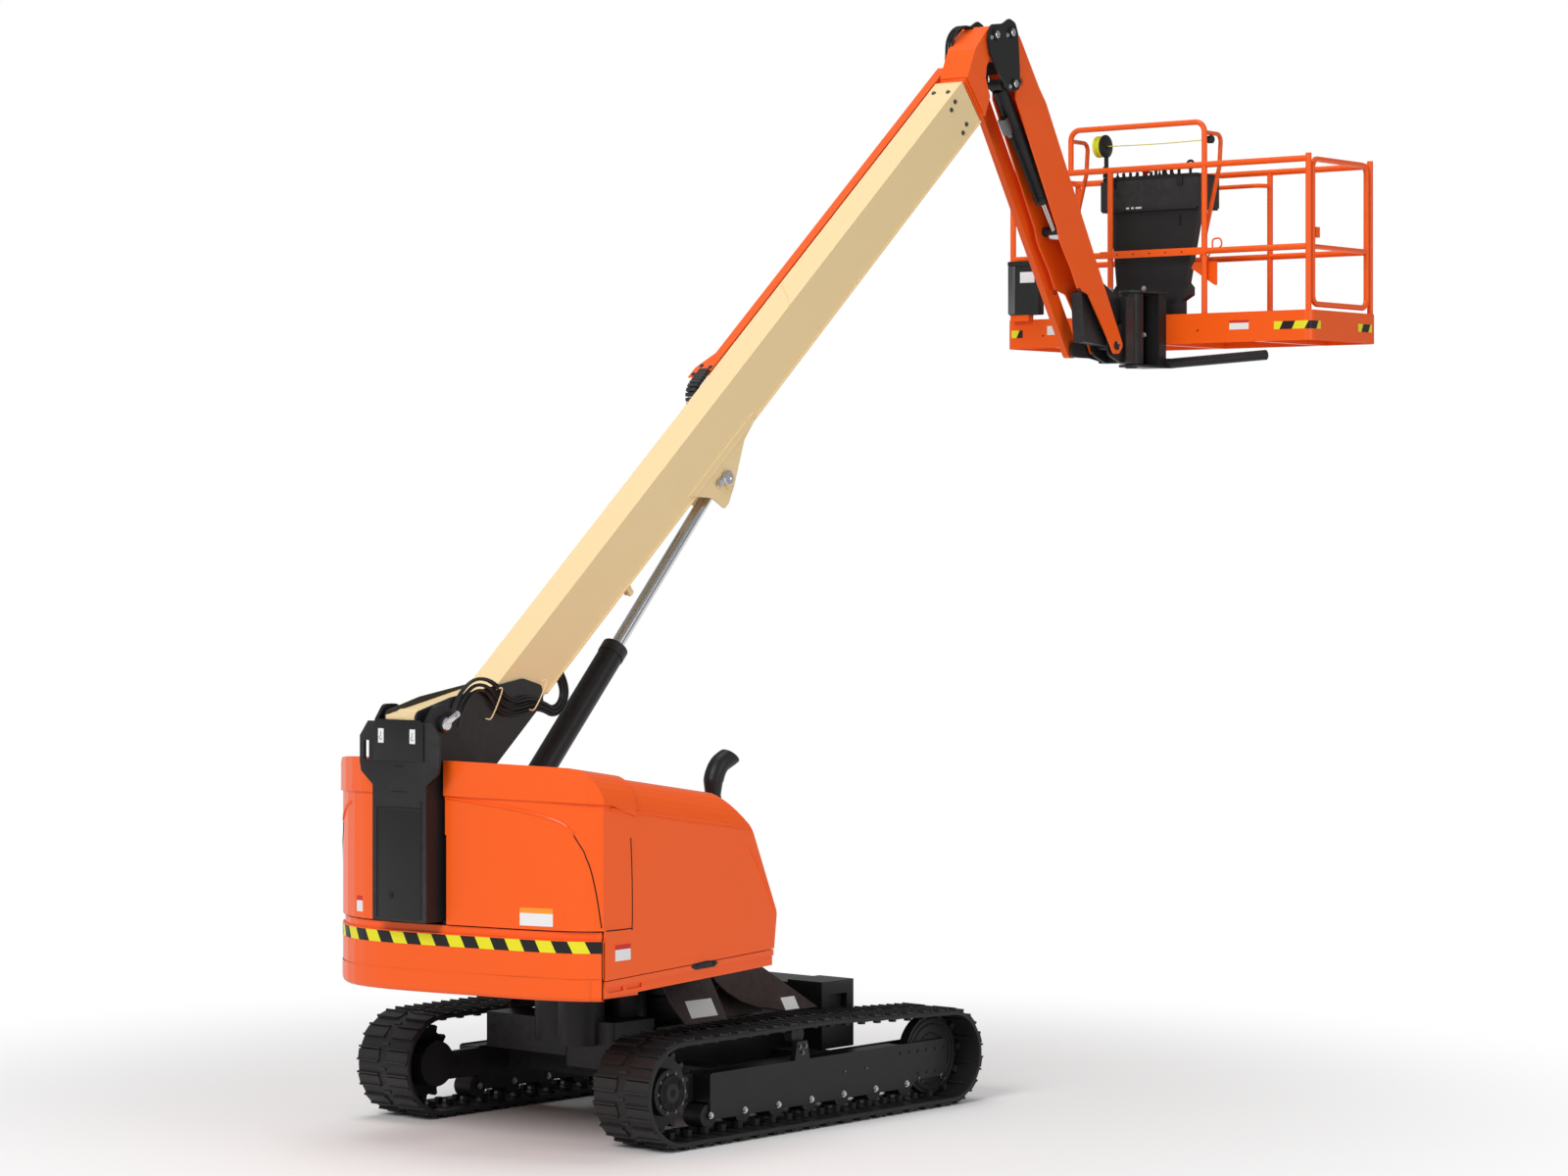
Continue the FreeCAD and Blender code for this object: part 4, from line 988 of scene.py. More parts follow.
# ---------------------------------------------------------------- undercarriage
@dataclass(frozen=True)
class Tracks:
    """Rubber belts with paired pads, grousers, centre bars and inner guide lugs."""

    gauge: float = 0.922
    width: float = 0.406
    rear: Sequence[float] = (-1.130, 0.303, 0.283)
    front: Sequence[float] = (1.165, 0.283, 0.263)
    crown: Pair = (0.080, 0.592)
    arc_steps: int = 26
    thick: float = 0.024
    ease: float = 0.006
    rim: float = 0.030
    shoes: int = 88
    pad: Sequence[float] = (0.058, 0.168, 0.008)
    grouser: Sequence[float] = (0.010, 0.168, 0.0165)
    lug: Sequence[float] = (0.034, 0.030, 0.036)
    lug_gauge: float = 0.045
    rib: Sequence[float] = (0.012, 0.300, 0.006)
    bar: Sequence[float] = (0.020, 0.050, 0.007)
    gap: float = 0.062

    def build(self) -> None:
        """Make both belts in place of the plain ones."""
        for side, name in SIDES:
            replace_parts(self._belt(side, name), "track_" + name)
            self._pads(side, name)

    def route(self, grow: float) -> list[tuple[float, float]]:
        """Closed side view of the belt, grown outward.

        Args:
            grow: how far outside the belt's outer face.

        Returns:
            (x, z) points.
        """
        points = []
        for (x, z, radius), first, last in ((self.front, -90, 84), (self.rear, 92, 270)):
            if first > 0:
                points.append((self.crown[0], self.crown[1] + grow))
            for k in range(self.arc_steps + 1):
                a = math.radians(first + (last - first) * k / self.arc_steps)
                points.append((x + (radius + grow) * math.cos(a), z + (radius + grow) * math.sin(a)))
        return points

    def stations(self, grow: float, count: int, shift: float) -> list[tuple[Vector, Vector, Vector]]:
        """Even places along the belt.

        Args:
            grow: how far outside the belt's outer face.
            count: how many.
            shift: share of a step that they are moved by.

        Returns:
            (place, outward direction, heading) of each, in chassis axes at the middle of the machine.
        """
        route = self.route(grow)
        spans = list(zip(route, route[1:] + route[:1]))
        lengths = [math.dist(a, b) for a, b in spans]
        step = sum(lengths) / count
        result, index, passed = [], 0, 0.0
        for k in range(count):
            want = (k + 0.5 + shift) * step % sum(lengths)
            if want < passed:
                index, passed = 0, 0.0
            while want > passed + lengths[index]:
                passed += lengths[index]
                index += 1
            (ax, az), (bx, bz) = spans[index]
            t = (want - passed) / lengths[index]
            ahead = Vector((bx - ax, 0, bz - az)).normalized()
            outward = Vector((ahead.z, 0, -ahead.x))
            result.append((Vector((ax + (bx - ax) * t, 0, az + (bz - az) * t)), outward, ahead))
        return result

    def _belt(self, side: int, name: str) -> bpy.types.Object:
        """Make the plain band with eased edges and a raised rim inside.

        Args:
            side: 1 for left and -1 for right.
            name: name of the side.

        Returns:
            The band.
        """
        half, inside = self.width / 2, -self.thick
        right = ((half - self.ease, 0.0), (half, -self.ease), (half, inside), (half - self.rim, inside),
                 (half - self.rim - 0.004, inside + 0.005))
        left = tuple((-across, grow) for across, grow in reversed(right))
        rings = [[(x, side * self.gauge + across, z) for x, z in self.route(grow)]
                 for across, grow in (*left[3:], *right, *left[:3])]
        belt = Piece("belt_" + name, "undercarriage", "track_rubber", CHASSIS)
        return belt.skin(rings, Ends.JOINED).done()

    def _pads(self, side: int, name: str) -> None:
        """Set pads, grousers, centre bars and guide lugs along the belt.

        Args:
            side: 1 for left and -1 for right.
            name: name of the side.
        """
        across = (self.gap + self.pad[1]) / 2
        pair, lugs, half = (-across, across), (-self.lug_gauge, self.lug_gauge), self.shoes // 2
        sets = (("pads", self.pad, self.pad[2] / 2 - 0.0005, half, pair, 0.0),
                ("grousers", self.grouser, self.grouser[2] / 2, self.shoes, pair, 0.0),
                ("centre_bars", self.bar, 0.003, half, (0.0,), 0.5),
                ("guide_lugs", self.lug, -self.thick - 0.016, half, lugs, 0.25),
                ("inner_ribs", self.rib, -self.thick - 0.001, half, (0.0,), 0.75))
        for label, size, grow, count, offsets, shift in sets:
            spots = [(place + Vector((0, side * self.gauge + offset, 0)), outward, ahead)
                     for place, outward, ahead in self.stations(grow, count, shift) for offset in offsets]
            blocks("track_%s_%s" % (label, name), "undercarriage", "track_rubber", CHASSIS, spots, size)


@dataclass(frozen=True)
class SideFrames:
    """Small parts of the side frames: bolts, rings, rows of holes, idler rims, hub covers and plates."""

    outer: float = 0.974
    inner: float = 0.812
    roller_x: Sequence[float] = (-0.757, -0.478, -0.198, 0.081, 0.360, 0.640, 0.919)
    roller_z: float = 0.137
    ring_x: Pair = (1.050, 1.248)
    hole_rows: Sequence[Sequence[float]] = ((0.86, 0.079, 6, 0.316), (1.02, 0.078, 3, 0.186))
    bolt_x: Pair = (0.368, 0.558)
    carrier_bolts: Sequence[Pair] = ((-0.018, 0.440), (0.030, 0.440), (0.005, 0.405))
    hub: Pair = (-1.130, 0.303)
    hub_face: float = 1.012
    hub_screws: Sequence[float] = (10, 0.107, 0.014)
    idler: Pair = (1.165, 0.283)
    idler_rims: Sequence[float] = (0.205, 0.172, 0.120)
    cover_top: Pair = (0.545, 0.842)
    cover_slope: float = 0.577
    manifold_foot: float = 0.480

    def build(self) -> None:
        """Make the trim on both sides and the manifold between them."""
        for side, name in SIDES:
            for label, y, way in (("", self.outer, side), ("inner_", self.inner, -side)):
                spots = [((x, side * y, self.roller_z), (0, way, 0)) for x in self.roller_x]
                screws("roller_bolts_%s%s" % (label, name), "undercarriage", CHASSIS, spots, 0.013)
            self._face(side, name)
            self._hub(side, name)
            self._idler(side, name)
            self._cowl(side, name)
        self._manifold()

    @staticmethod
    def _piece(name: str, finish: str) -> Piece:
        """Start a piece in chassis axes."""
        return Piece(name, "undercarriage", finish, CHASSIS)

    def _cowl(self, side: int, name: str) -> None:
        """Lay two blank plates on the sloping cover.

        Args:
            side: 1 for left and -1 for right.
            name: name of the side.
        """
        across, top = self.cover_top
        up = CHASSIS.turn((0, -side * 0.5, 0.866))
        for label, x, z, size in (("long", -0.472, 0.675, (0.216, 0.105)),
                                  ("short", 0.252, 0.642, (0.118, 0.078))):
            y = across + (top - z) * self.cover_slope + 0.015
            Plate("cowl_plate_%s_%s" % (label, name), "undercarriage", "deck_covers",
                  CHASSIS.place((x, side * y, z)), CHASSIS.turn((-side, 0, 0)), size, up=up).lay()

    def _manifold(self) -> None:
        """Dark manifold on the centre frame, under the turntable."""
        manifold = Piece("centre_manifold", "undercarriage", "cast_dark")
        foot = self.manifold_foot
        for x, y, radius, top in ((-0.800, 0.100, 0.190, 0.832), (-0.960, -0.130, 0.130, 0.800),
                                  (-0.620, -0.160, 0.120, 0.790)):
            high = top - foot
            manifold.lathe((x, y, foot), UP, [(0, 0), (radius, 0), (radius, high - 0.040),
                                              (radius * 0.9, high - 0.025), (radius * 0.9, high - 0.010),
                                              (radius * 0.8, high), (0, high)], 28)
        manifold.done()

    def _face(self, side: int, name: str) -> None:
        """Open retaining rings, rows of round holes and bolts on the frame's outer face.

        Args:
            side: 1 for left and -1 for right.
            name: name of the side.
        """
        face, out = side * self.outer, (0, side, 0)
        rings = self._piece("retaining_rings_" + name, "grey_steel")
        for x in self.ring_x:
            rings.arc((x, face + side * 0.003, 0.150), out, 0.021, 0.0035, (35, 290))
        rings.done()
        spots = [(first + step * k, face, z) for first, step, count, z in self.hole_rows
                 for k in range(count)]
        holes = self._piece("frame_holes_" + name, "seam_dark")
        holes.studs(spots, out, (0.002, LIFT), 0.009, 0.0004, 14).done()
        bolts = self._piece("frame_bolts_" + name, "grey_steel")
        bolts.studs([(x, face, 0.263) for x in self.bolt_x], out, (0, 0.006), 0.008, 0.002).done()
        screws("carrier_bolts_" + name, "undercarriage", CHASSIS,
               [((x, face, z), out) for x, z in self.carrier_bolts], 0.010, "grey_steel")

    def _hub(self, side: int, name: str) -> None:
        """Stepped cover of the final drive with a ring of screws.

        Args:
            side: 1 for left and -1 for right.
            name: name of the side.
        """
        (x, z), y, out = self.hub, side * self.hub_face, (0, side, 0)
        profile = [(0, 0), (0.126, 0), (0.126, 0.010), (0.112, 0.014), (0.100, 0.014), (0.096, 0.024),
                   (0.090, 0.028), (0.050, 0.028), (0.046, 0.024), (0.028, 0.024), (0.022, 0.028),
                   (0, 0.028)]
        self._piece("hub_cap_" + name, "cast_dark").lathe((x, y, z), out, profile, 40).done()
        count, radius, stand = self.hub_screws
        ring = circle(Vector((x, y + side * stand, z)), Vector((radius, 0, 0)), UP * radius, count)
        spots = [(spot, out) for spot in ring]
        screws("hub_screws_" + name, "undercarriage", CHASSIS, spots, 0.007, "grey_steel")

    def _idler(self, side: int, name: str) -> None:
        """Raised rims on the front idler.

        Args:
            side: 1 for left and -1 for right.
            name: name of the side.
        """
        x, z = self.idler
        rims = self._piece("idler_rims_" + name, "cast_dark")
        for radius in self.idler_rims:
            for face in (-1, 1):
                rims.arc((x, side * Tracks.gauge + face * 0.031, z), (0, 1, 0), radius, 0.006)
        rims.done()


# ---------------------------------------------------------------- turntable
@dataclass(frozen=True)
class Tail:
    """Stripes, skin, plates, seams, creases, latches and tags of the turntable's shell."""

    plan: Sequence[Pair] = ((-1.812, -1.030), (-1.872, -0.966), (-1.956, -0.757), (-2.022, -0.339),
                            (-2.070, 0.055), (-2.078, 0.407), (-2.046, 0.565), (-1.935, 0.757),
                            (-1.812, 0.870))
    flanks: Pair = (-1.020, 0.860)
    band: Pair = (1.106, 1.168)
    foot: Pair = (0.8535, 0.9712)
    step: float = 0.018
    foot_radius: float = 0.034
    middle: Pair = (-1.20, -0.08)
    column_rear: float = -2.166

    def build(self) -> None:
        """Make everything on the tail and the hoods."""
        settle(self._strip("tail_band", self.band, 2, LIFT), "tail_band", "turntable", "hazard_stripes")
        self._skin()
        self._plates()
        for (side, name), y in zip(SIDES, self.flanks):
            self._seams(side, name, y)
            self._creases(name, y)
            self._latch(side, name, y - side * 0.002)
        self._column()
        self._ears()

    def _strip(self, name: str, edges: Pair, rows: int, lift: float) -> bpy.types.Mesh:
        """Lay a strip round the tail.

        Args:
            name: name of the strip.
            edges: heights of its lower and upper edge.
            rows: rows of faces across it.
            lift: how far above the surface it lies.

        Returns:
            The laid mesh.
        """
        path = smooth_path([(x, y, 0.0) for x, y in self.plan], 16)
        return wrapped(ribbon(name, path, UP, edges, rows), "counterweight", lift, True)

    def _skin(self) -> None:
        """Carry the tail's skin down over its lower step, and round its foot."""
        laid = self._strip("tail_skin", self.foot, 14, self.step)
        for vert in laid.vertices:
            drop = max(0.0, 1.0 - (vert.co.z - self.foot[0]) / self.foot_radius)
            outward = Vector((vert.co.x - self.middle[0], vert.co.y - self.middle[1], 0.0)).normalized()
            vert.co -= outward * (self.step * (1.0 - math.sqrt(max(0.0, 1.0 - drop ** 2))))
        settle(laid, "tail_skin", "turntable", "orange_gloss")

    def _plates(self) -> None:
        """Lay the blank plates of the hoods."""
        red = "label_red"
        for name, hood, centre, right, size, bar in (
                ("plate_hood_rear", "hood_right", (-2.02, -0.700, 1.290), (0.25, -1, 0), (0.20, 0.095),
                 "label_amber"),
                ("plate_hood_side", "hood_right", (-1.655, -1.03, 1.100), (1, 0, 0), (0.125, 0.085), red),
                ("plate_hood_left", "hood_left", (-2.06, 0.480, 1.300), (0, -1, 0), (0.110, 0.085), red),
                ("plate_small_left", "hood_left", (-2.06, 0.440, 1.365), (0, -1, 0), (0.05, 0.022), None),
                ("plate_side_left", "hood_left", (-1.655, 0.87, 1.100), (-1, 0, 0), (0.125, 0.085), red)):
            Plate(name, hood, hood, centre, right, size, bar).lay()

    @staticmethod
    def _seams(side: int, name: str, y: float) -> None:
        """Draw the gaps between panels.

        Args:
            side: 1 for left and -1 for right.
            name: name of the side.
            y: where the hood's side stands.
        """
        hood = "hood_" + name
        door = [(-1.590, y, 1.700), (-1.579, y, 1.465), (-1.579, y, 1.235), (-1.600, y, 1.222),
                (-1.790, y, 1.222)]
        tail = [(-1.935, y - side * 0.11, 1.724), (-1.885, y - side * 0.045, 1.589),
                (-1.850, y - side * 0.02, 1.433), (-1.826, y, 1.240)]
        corner = [(-1.826, y + side * 0.004, z) for z in (0.865, 0.95, 1.05, 1.12, 1.19)]
        seam("door_seam_" + name, hood, hood, door)
        seam("tail_seam_" + name, hood, hood, tail)
        seam("corner_seam_" + name, "turntable", "counterweight", corner, 0.003)

    @staticmethod
    def _creases(name: str, y: float) -> None:
        """Soft raised lines: the brow's swept edge and the side panel's creases.

        Args:
            name: name of the side.
            y: where the hood's side stands.
        """
        brows = {"right": ((-2.040, -0.100), (-2.020, -0.370), (-1.985, -0.647), (-1.955, -0.820),
                           (-1.935, -0.910)),
                 "left": ((-2.050, 0.330), (-2.050, 0.480), (-2.010, 0.620), (-1.970, 0.700),
                          (-1.935, 0.750))}
        brow = [(*place, z) for place, z in zip(brows[name], (1.900, 1.874, 1.838, 1.795, 1.735))]
        side = [(-1.753, y, 1.863), (-1.252, y, 1.790), (-0.854, y, 1.734), (-0.596, y, 1.693)]
        front = [(-0.583, y, 1.585), (-0.473, y, 1.424), (-0.375, y, 1.254)]
        for label, points, width in (("brow_edge_", brow, 0.009), ("side_crease_", side, 0.007),
                                     ("front_crease_", front, 0.006)):
            seam(label + name, "hood_" + name, "hood_" + name, points, width, "orange_gloss")

    @staticmethod
    def _latch(side: int, name: str, y: float) -> None:
        """Recessed paddle latch on a sill.

        Args:
            side: 1 for left and -1 for right.
            name: name of the side.
            y: where the sill's face stands.
        """
        outline = [(-1.085, 0.972), (-1.05, 0.956), (-0.89, 0.960), (-0.858, 0.978), (-0.875, 0.992),
                   (-0.95, 0.998), (-1.07, 0.990)]
        paddle = [(-1.04, 0.975), (-0.93, 0.977), (-0.915, 0.985), (-0.95, 0.992), (-1.03, 0.989)]
        latch = Piece("hood_latch_" + name, "turntable", "black_satin")
        latch.plate(outline, (y - side * 0.004, y + side * 0.004))
        latch.plate(paddle, (y + side * 0.003, y + side * 0.014))
        latch.rod((-0.895, y, 0.981), (-0.895, y + side * 0.012, 0.981), 0.009)
        latch.done()

    def _column(self) -> None:
        """Door, seams and slots of the upright."""
        rear, right, left, low, high = self.column_rear, -0.050, 0.272, 1.25, 1.84
        door = Piece("upright_door", "turntable", "black_satin")
        door.block((rear - 0.0005, -0.040, 1.245), (rear + 0.004, 0.262, 1.830), 0.002)
        door.rod((rear - 0.006, 0.175, 1.372), (rear + 0.002, 0.175, 1.372), 0.020, 0.003)
        door.block((rear - 0.010, 0.160, 1.366), (rear, 0.190, 1.378), 0.002)
        door.done()
        for name, line in (("low", ((right, low), (right, high), (-0.049, 1.841))),
                           ("high", ((right, high), (0.10, 1.842), (left, high))),
                           ("left", ((left, high), (left, 1.50), (left, low)))):
            path = smooth_path([(rear, y, z) for y, z in line], 4)
            Piece("upright_seam_" + name, "turntable", "seam_dark").tube(path, 0.0028, 6).done()
        slots = Piece("upright_slots", "turntable", "seam_dark")
        slots.block((rear - 0.0008, 0.080, 2.060), (rear + 0.002, 0.150, 2.066), 0.0004)
        slots.block((rear - 0.0008, 0.060, 1.925), (rear + 0.002, 0.170, 1.929), 0.0004)
        slots.done()

    def _ears(self) -> None:
        """Plate over the notch between the upright's ears, and two hooked tags on it."""
        rear = self.column_rear
        outline = [(-0.070, 2.090), (0.292, 2.090), (0.292, 2.290), (0.262, 2.312), (-0.040, 2.312),
                   (-0.070, 2.290)]
        bridge = Piece("ear_bridge", "turntable", "black_satin")
        bridge.plate(outline, (rear - 0.0075, rear - 0.0035), Facing.X).done()
        face = rear - 0.009
        for name, y in (("ear_tag_left", 0.236), ("ear_tag_right", 0.006)):
            tag = Piece(name, "turntable", "label_white")
            tag.block((face, y - 0.020, 2.185), (rear - 0.006, y + 0.020, 2.262), 0.0004).done()
            hook = Piece(name + "_hook", "turntable", "grey_steel")
            hook.arc((face, y, 2.212), (1, 0, 0), 0.009, 0.0018, (200, 250))
            hook.tube([(face, y, 2.221), (face, y, 2.245)], 0.0018, 6).done()


@dataclass(frozen=True)
class Exhaust:
    """Exhaust pipe with a flared elbow and a slanting mouth."""

    base: Pair = (-0.160, -0.420)
    rise: Sequence[Point] = ((0, 0, 0.962), (0, 0, 1.40), (0, 0, 1.84), (0.010, 0, 1.925),
                             (0.050, -0.006, 1.995), (0.130, -0.016, 2.040))
    radius: float = 0.041
    flare: float = 0.017
    flare_from: float = 1.80
    flare_over: float = 0.12
    wall: float = 0.005
    slant: float = 0.022
    mouth: int = 8
    sides: int = 28

    def build(self) -> None:
        """Make the pipe, hollow at its mouth, with its clamp and foot, in place of the plain one."""
        x, y = self.base
        path = smooth_path([(x + east, y + north, z) for east, north, z in self.rise])
        widths = [self.flare * min(1.0, max(0.0, (here.z - self.flare_from) / self.flare_over))
                  for here in path]
        rings = [self._ring(path, k, self.radius + width) for k, width in enumerate(widths)]
        inner = self.radius + self.flare - self.wall
        for index, radius in ((len(path) - 1, inner), (len(path) - 1 - self.mouth, inner - 0.001)):
            rings.append(self._ring(path, index, radius))
        pipe = Piece("exhaust_pipe", "turntable", "black_satin").skin(rings, Ends.FILLED)
        clamp = [(0.040, 0), (0.047, 0.003), (0.047, 0.020), (0.040, 0.023)]
        pipe.lathe((x, y, self.flare_from), UP, clamp, self.sides)
        pipe.block((x - 0.2, y - 0.06, 0.930), (x + 0.06, y + 0.06, 0.964), 0.004)
        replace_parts(pipe.done(), "exhaust_stack")

    def _ring(self, path: Sequence[Vector], index: int, radius: float) -> list[Vector]:
        """One ring of the pipe, slanting toward the mouth.

        Args:
            path: close points along the pipe.
            index: which of them the ring stands on.
            radius: radius of the ring.

        Returns:
            Its points.
        """
        ahead, side = heading(path, index), Vector((0, 1, 0))
        lean = self.slant * max(0, index - (len(path) - 1 - self.mouth)) / self.mouth
        return circle(path[index], side.cross(ahead) * radius + ahead * lean, side * radius, self.sides)


# ---------------------------------------------------------------- boom
@dataclass(frozen=True)
class BoomTrim:
    """Hoses, clips, pins, screws, weld and chain of the boom."""

    half: float = 0.103
    top: float = -0.193
    bottom: float = -0.498
    hose_y: float = -0.130
    hoses: int = 6
    outer: Sequence[Pair] = ((0.050, -0.105), (0.145, -0.035), (0.250, 0.000), (0.375, -0.010),
                             (0.465, -0.080), (0.515, -0.180), (0.525, -0.275), (0.575, -0.345),
                             (0.660, -0.385))
    inner: Sequence[Pair] = ((0.075, -0.150), (0.185, -0.105), (0.270, -0.080), (0.365, -0.090),
                             (0.415, -0.165), (0.405, -0.265), (0.440, -0.345), (0.535, -0.425),
                             (0.640, -0.475))
    loop: Pair = (0.835, -0.512)
    loop_radius: Pair = (0.084, 0.134)
    pad_screws: Sequence[Pair] = ((6.075, -0.245), (6.010, -0.262), (6.085, -0.425), (6.020, -0.445))
    chain: Sequence[float] = (3.175, 0.154, -0.292)
    chain_radius: float = 0.105

    def build(self) -> None:
        """Make the boom's trim."""
        self._foot_hoses()
        self._clips()
        self._foot_pin()
        self._lift_pin()
        self._screws()
        self._lines()
        self._chain()
        self._head()

    def _foot_hoses(self) -> None:
        """Bundle of hoses that humps over the heel plate, dips and loops back up under the boom."""
        for k in range(self.hoses):
            t = k / (self.hoses - 1)
            hump = 0.010 if k % 2 else -0.006
            y = self.hose_y - 0.008 * (k % 2)
            route = []
            for j, (a, b) in enumerate(zip(self.outer, self.inner)):
                lift = hump * math.sin(math.pi * j / (len(self.outer) - 1))
                route.append((a[0] + (b[0] - a[0]) * t, y, a[1] + (b[1] - a[1]) * t + lift))
            small, large = self.loop_radius
            (x, z), radius = self.loop, small + (large - small) * t
            for j, turn in enumerate((190, 225, 262, 300, 337)):
                a = math.radians(turn)
                route.append((x + 1.06 * radius * math.cos(a), y + 0.006 * (j + 1),
                              z + 1.06 * radius * math.sin(a)))
            route.append((x + 1.02 * radius, y + 0.030, z + 0.012))
            Hose("foot_hose_%d" % (k + 1), "main_boom", BOOM, route, 0.0145).hang()

    def _clips(self) -> None:
        """Two cream wire clips that hold the bundle."""
        y = self.hose_y - 0.024
        clips = Piece("hose_clips", "main_boom", "cream_satin", BOOM)
        for low, high in (((0.345, -0.262), (0.500, -0.205)), ((0.640, -0.462), (0.800, -0.415))):
            path = [(low[0] - 0.030, y + 0.020, low[1] + 0.012), (low[0], y, low[1]), (high[0], y, high[1]),
                    (high[0] - 0.018, y + 0.020, high[1] + 0.020)]
            clips.tube(smooth_path(path, 6), 0.0035)
        clips.done()

    @staticmethod
    def _foot_pin() -> None:
        """Ends of the boom's foot pin, with their keepers and bolts, on the upright."""
        button = [(0, 0), (0.036, 0), (0.036, 0.006), (0.030, 0.011), (0, 0.011)]
        bar = [(-2.050, 2.300), (-2.030, 2.320), (-1.965, 2.352), (-1.945, 2.345), (-1.950, 2.325),
               (-2.010, 2.290)]
        spots = []
        for (side, name), end in zip(SIDES, (-0.106, 0.328)):
            pin = Piece("foot_pin_keeper_" + name, "turntable", "rod_chrome")
            pin.lathe((BOOM.origin[0], end, BOOM.origin[2]), (0, side, 0), button, 28)
            pin.plate(bar, (end + side * 0.009, end + side * 0.015)).done()
            spots.append(((-1.962, end + side * 0.015, 2.338), (0, side, 0)))
        screws("foot_keeper_bolts", "turntable", YARD, spots, 0.013)

    @staticmethod
    def _lift_pin() -> None:
        """Ends of the lift cylinder's pin, with their keepers and bolts, on the boom's cheeks."""
        button = [(0, 0), (0.040, 0), (0.044, 0.004), (0.044, 0.014), (0.038, 0.019), (0.018, 0.019),
                  (0.016, 0.015), (0, 0.015)]
        bone = [(2.775, -0.612), (2.800, -0.570), (2.750, -0.556), (2.715, -0.545), (2.688, -0.552),
                (2.684, -0.578), (2.705, -0.590), (2.745, -0.596)]
        spots = []
        for side, name in SIDES:
            face, front = side * 0.119, side * 0.126
            pin = Piece("lift_pin_keeper_" + name, "main_boom", "rod_chrome", BOOM)
            pin.lathe((2.780, face, -0.589), (0, side, 0), button, 32).plate(bone, (face, front)).done()
            spots.append(((2.700, front, -0.567), (0, side, 0)))
        screws("lift_keeper_bolts", "main_boom", BOOM, spots, 0.015)

    def _screws(self) -> None:
        """Wear pad screws at the boom's end."""
        spots = [((x, side * self.half, z), (0, side, 0)) for side, _ in SIDES for x, z in self.pad_screws]
        for level, way in ((self.top, 1), (self.bottom, -1)):
            spots += [((6.110, y, level), (0, 0, way)) for y in (-0.055, 0.055)]
        screws("wear_pad_screws", "main_boom", BOOM, spots, 0.011, "grey_steel")

    def _lines(self) -> None:
        """Two dark rods along the boom's lower edges, the curved weld on its top plate and the collar at
        its end.
        """
        level, top = self.bottom - 0.010, self.top + 0.001
        # Two dark rods just under the boom's lower edges, from 1.10 to 2.44 m along it.
        lines = Piece("boom_lower_edge_rods", "main_boom", "hose_rubber", BOOM)
        for side, _ in SIDES:
            lines.rod((1.100, side * 0.082, level), (2.440, side * 0.082, level), 0.009, 0.003, 10)
        lines.done()
        curve = smooth_path([(3.92, -0.100, top), (4.02, -0.02, top), (4.10, 0.06, top),
                             (4.16, 0.100, top)])
        Piece("boom_weld", "main_boom", "cream_satin", BOOM).tube(curve, 0.0035, 6).done()
        collar = Piece("boom_end_collar", "fly_boom", "orange_gloss", BOOM)
        for x in (6.236, 6.262):
            collar.block((x, -0.0990, -0.4870), (x + 0.012, 0.0990, -0.2040))
        collar.done()

    def _chain(self) -> None:
        """Links of the cable chain that hang in a loop behind the channel."""
        (x, y, z), radius, count = self.chain, self.chain_radius, 13
        spots = []
        for k in range(count):
            a = math.pi * k / (count - 1)
            sin, cos = math.sin(a), math.cos(a)
            spots.append(((x - radius * sin, y, z + radius * cos), (-sin, 0, cos), (-cos, 0, -sin)))
        for k in range(4):
            for way in (1, -1):
                spots.append(((x + 0.027 * (k + 1), y, z + way * radius), (0, 0, way), (1, 0, 0)))
        for name, size in (("chain_plates", (0.022, 0.070, 0.030)), ("chain_pins", (0.008, 0.082, 0.010))):
            blocks(name, "main_boom", "black_satin", BOOM, spots, size)

    def _head(self) -> None:
        """Hoses of the fly boom's head, and the screws and slot of the channel's end plate."""
        places = ((3.265, 0.140), (3.265, 0.230), (3.330, 0.140), (3.345, 0.215))
        spots = [((x, y, self.top + 0.0005), UP) for x, y in places]
        screws("channel_screws", "fly_boom", BOOM, spots, 0.010, "grey_steel")
        slot = Piece("channel_slot", "fly_boom", "seam_dark", BOOM)
        slot.block((3.275, 0.165, self.top - 0.002), (3.300, 0.205, self.top + 0.001), 0.0008).done()
        for k in range(3):
            y = 0.150 - 0.022 * k
            route = [(6.330, y, -0.240), (6.420, y, -0.225), (6.480, y, -0.165), (6.540, y - 0.012, -0.075),
                     (6.600, y - 0.040, -0.040), (6.655, y - 0.062, -0.052), (6.690, y - 0.080, -0.100)]
            Hose("head_hose_%d" % (k + 1), "fly_boom", BOOM, route, 0.017).hang()


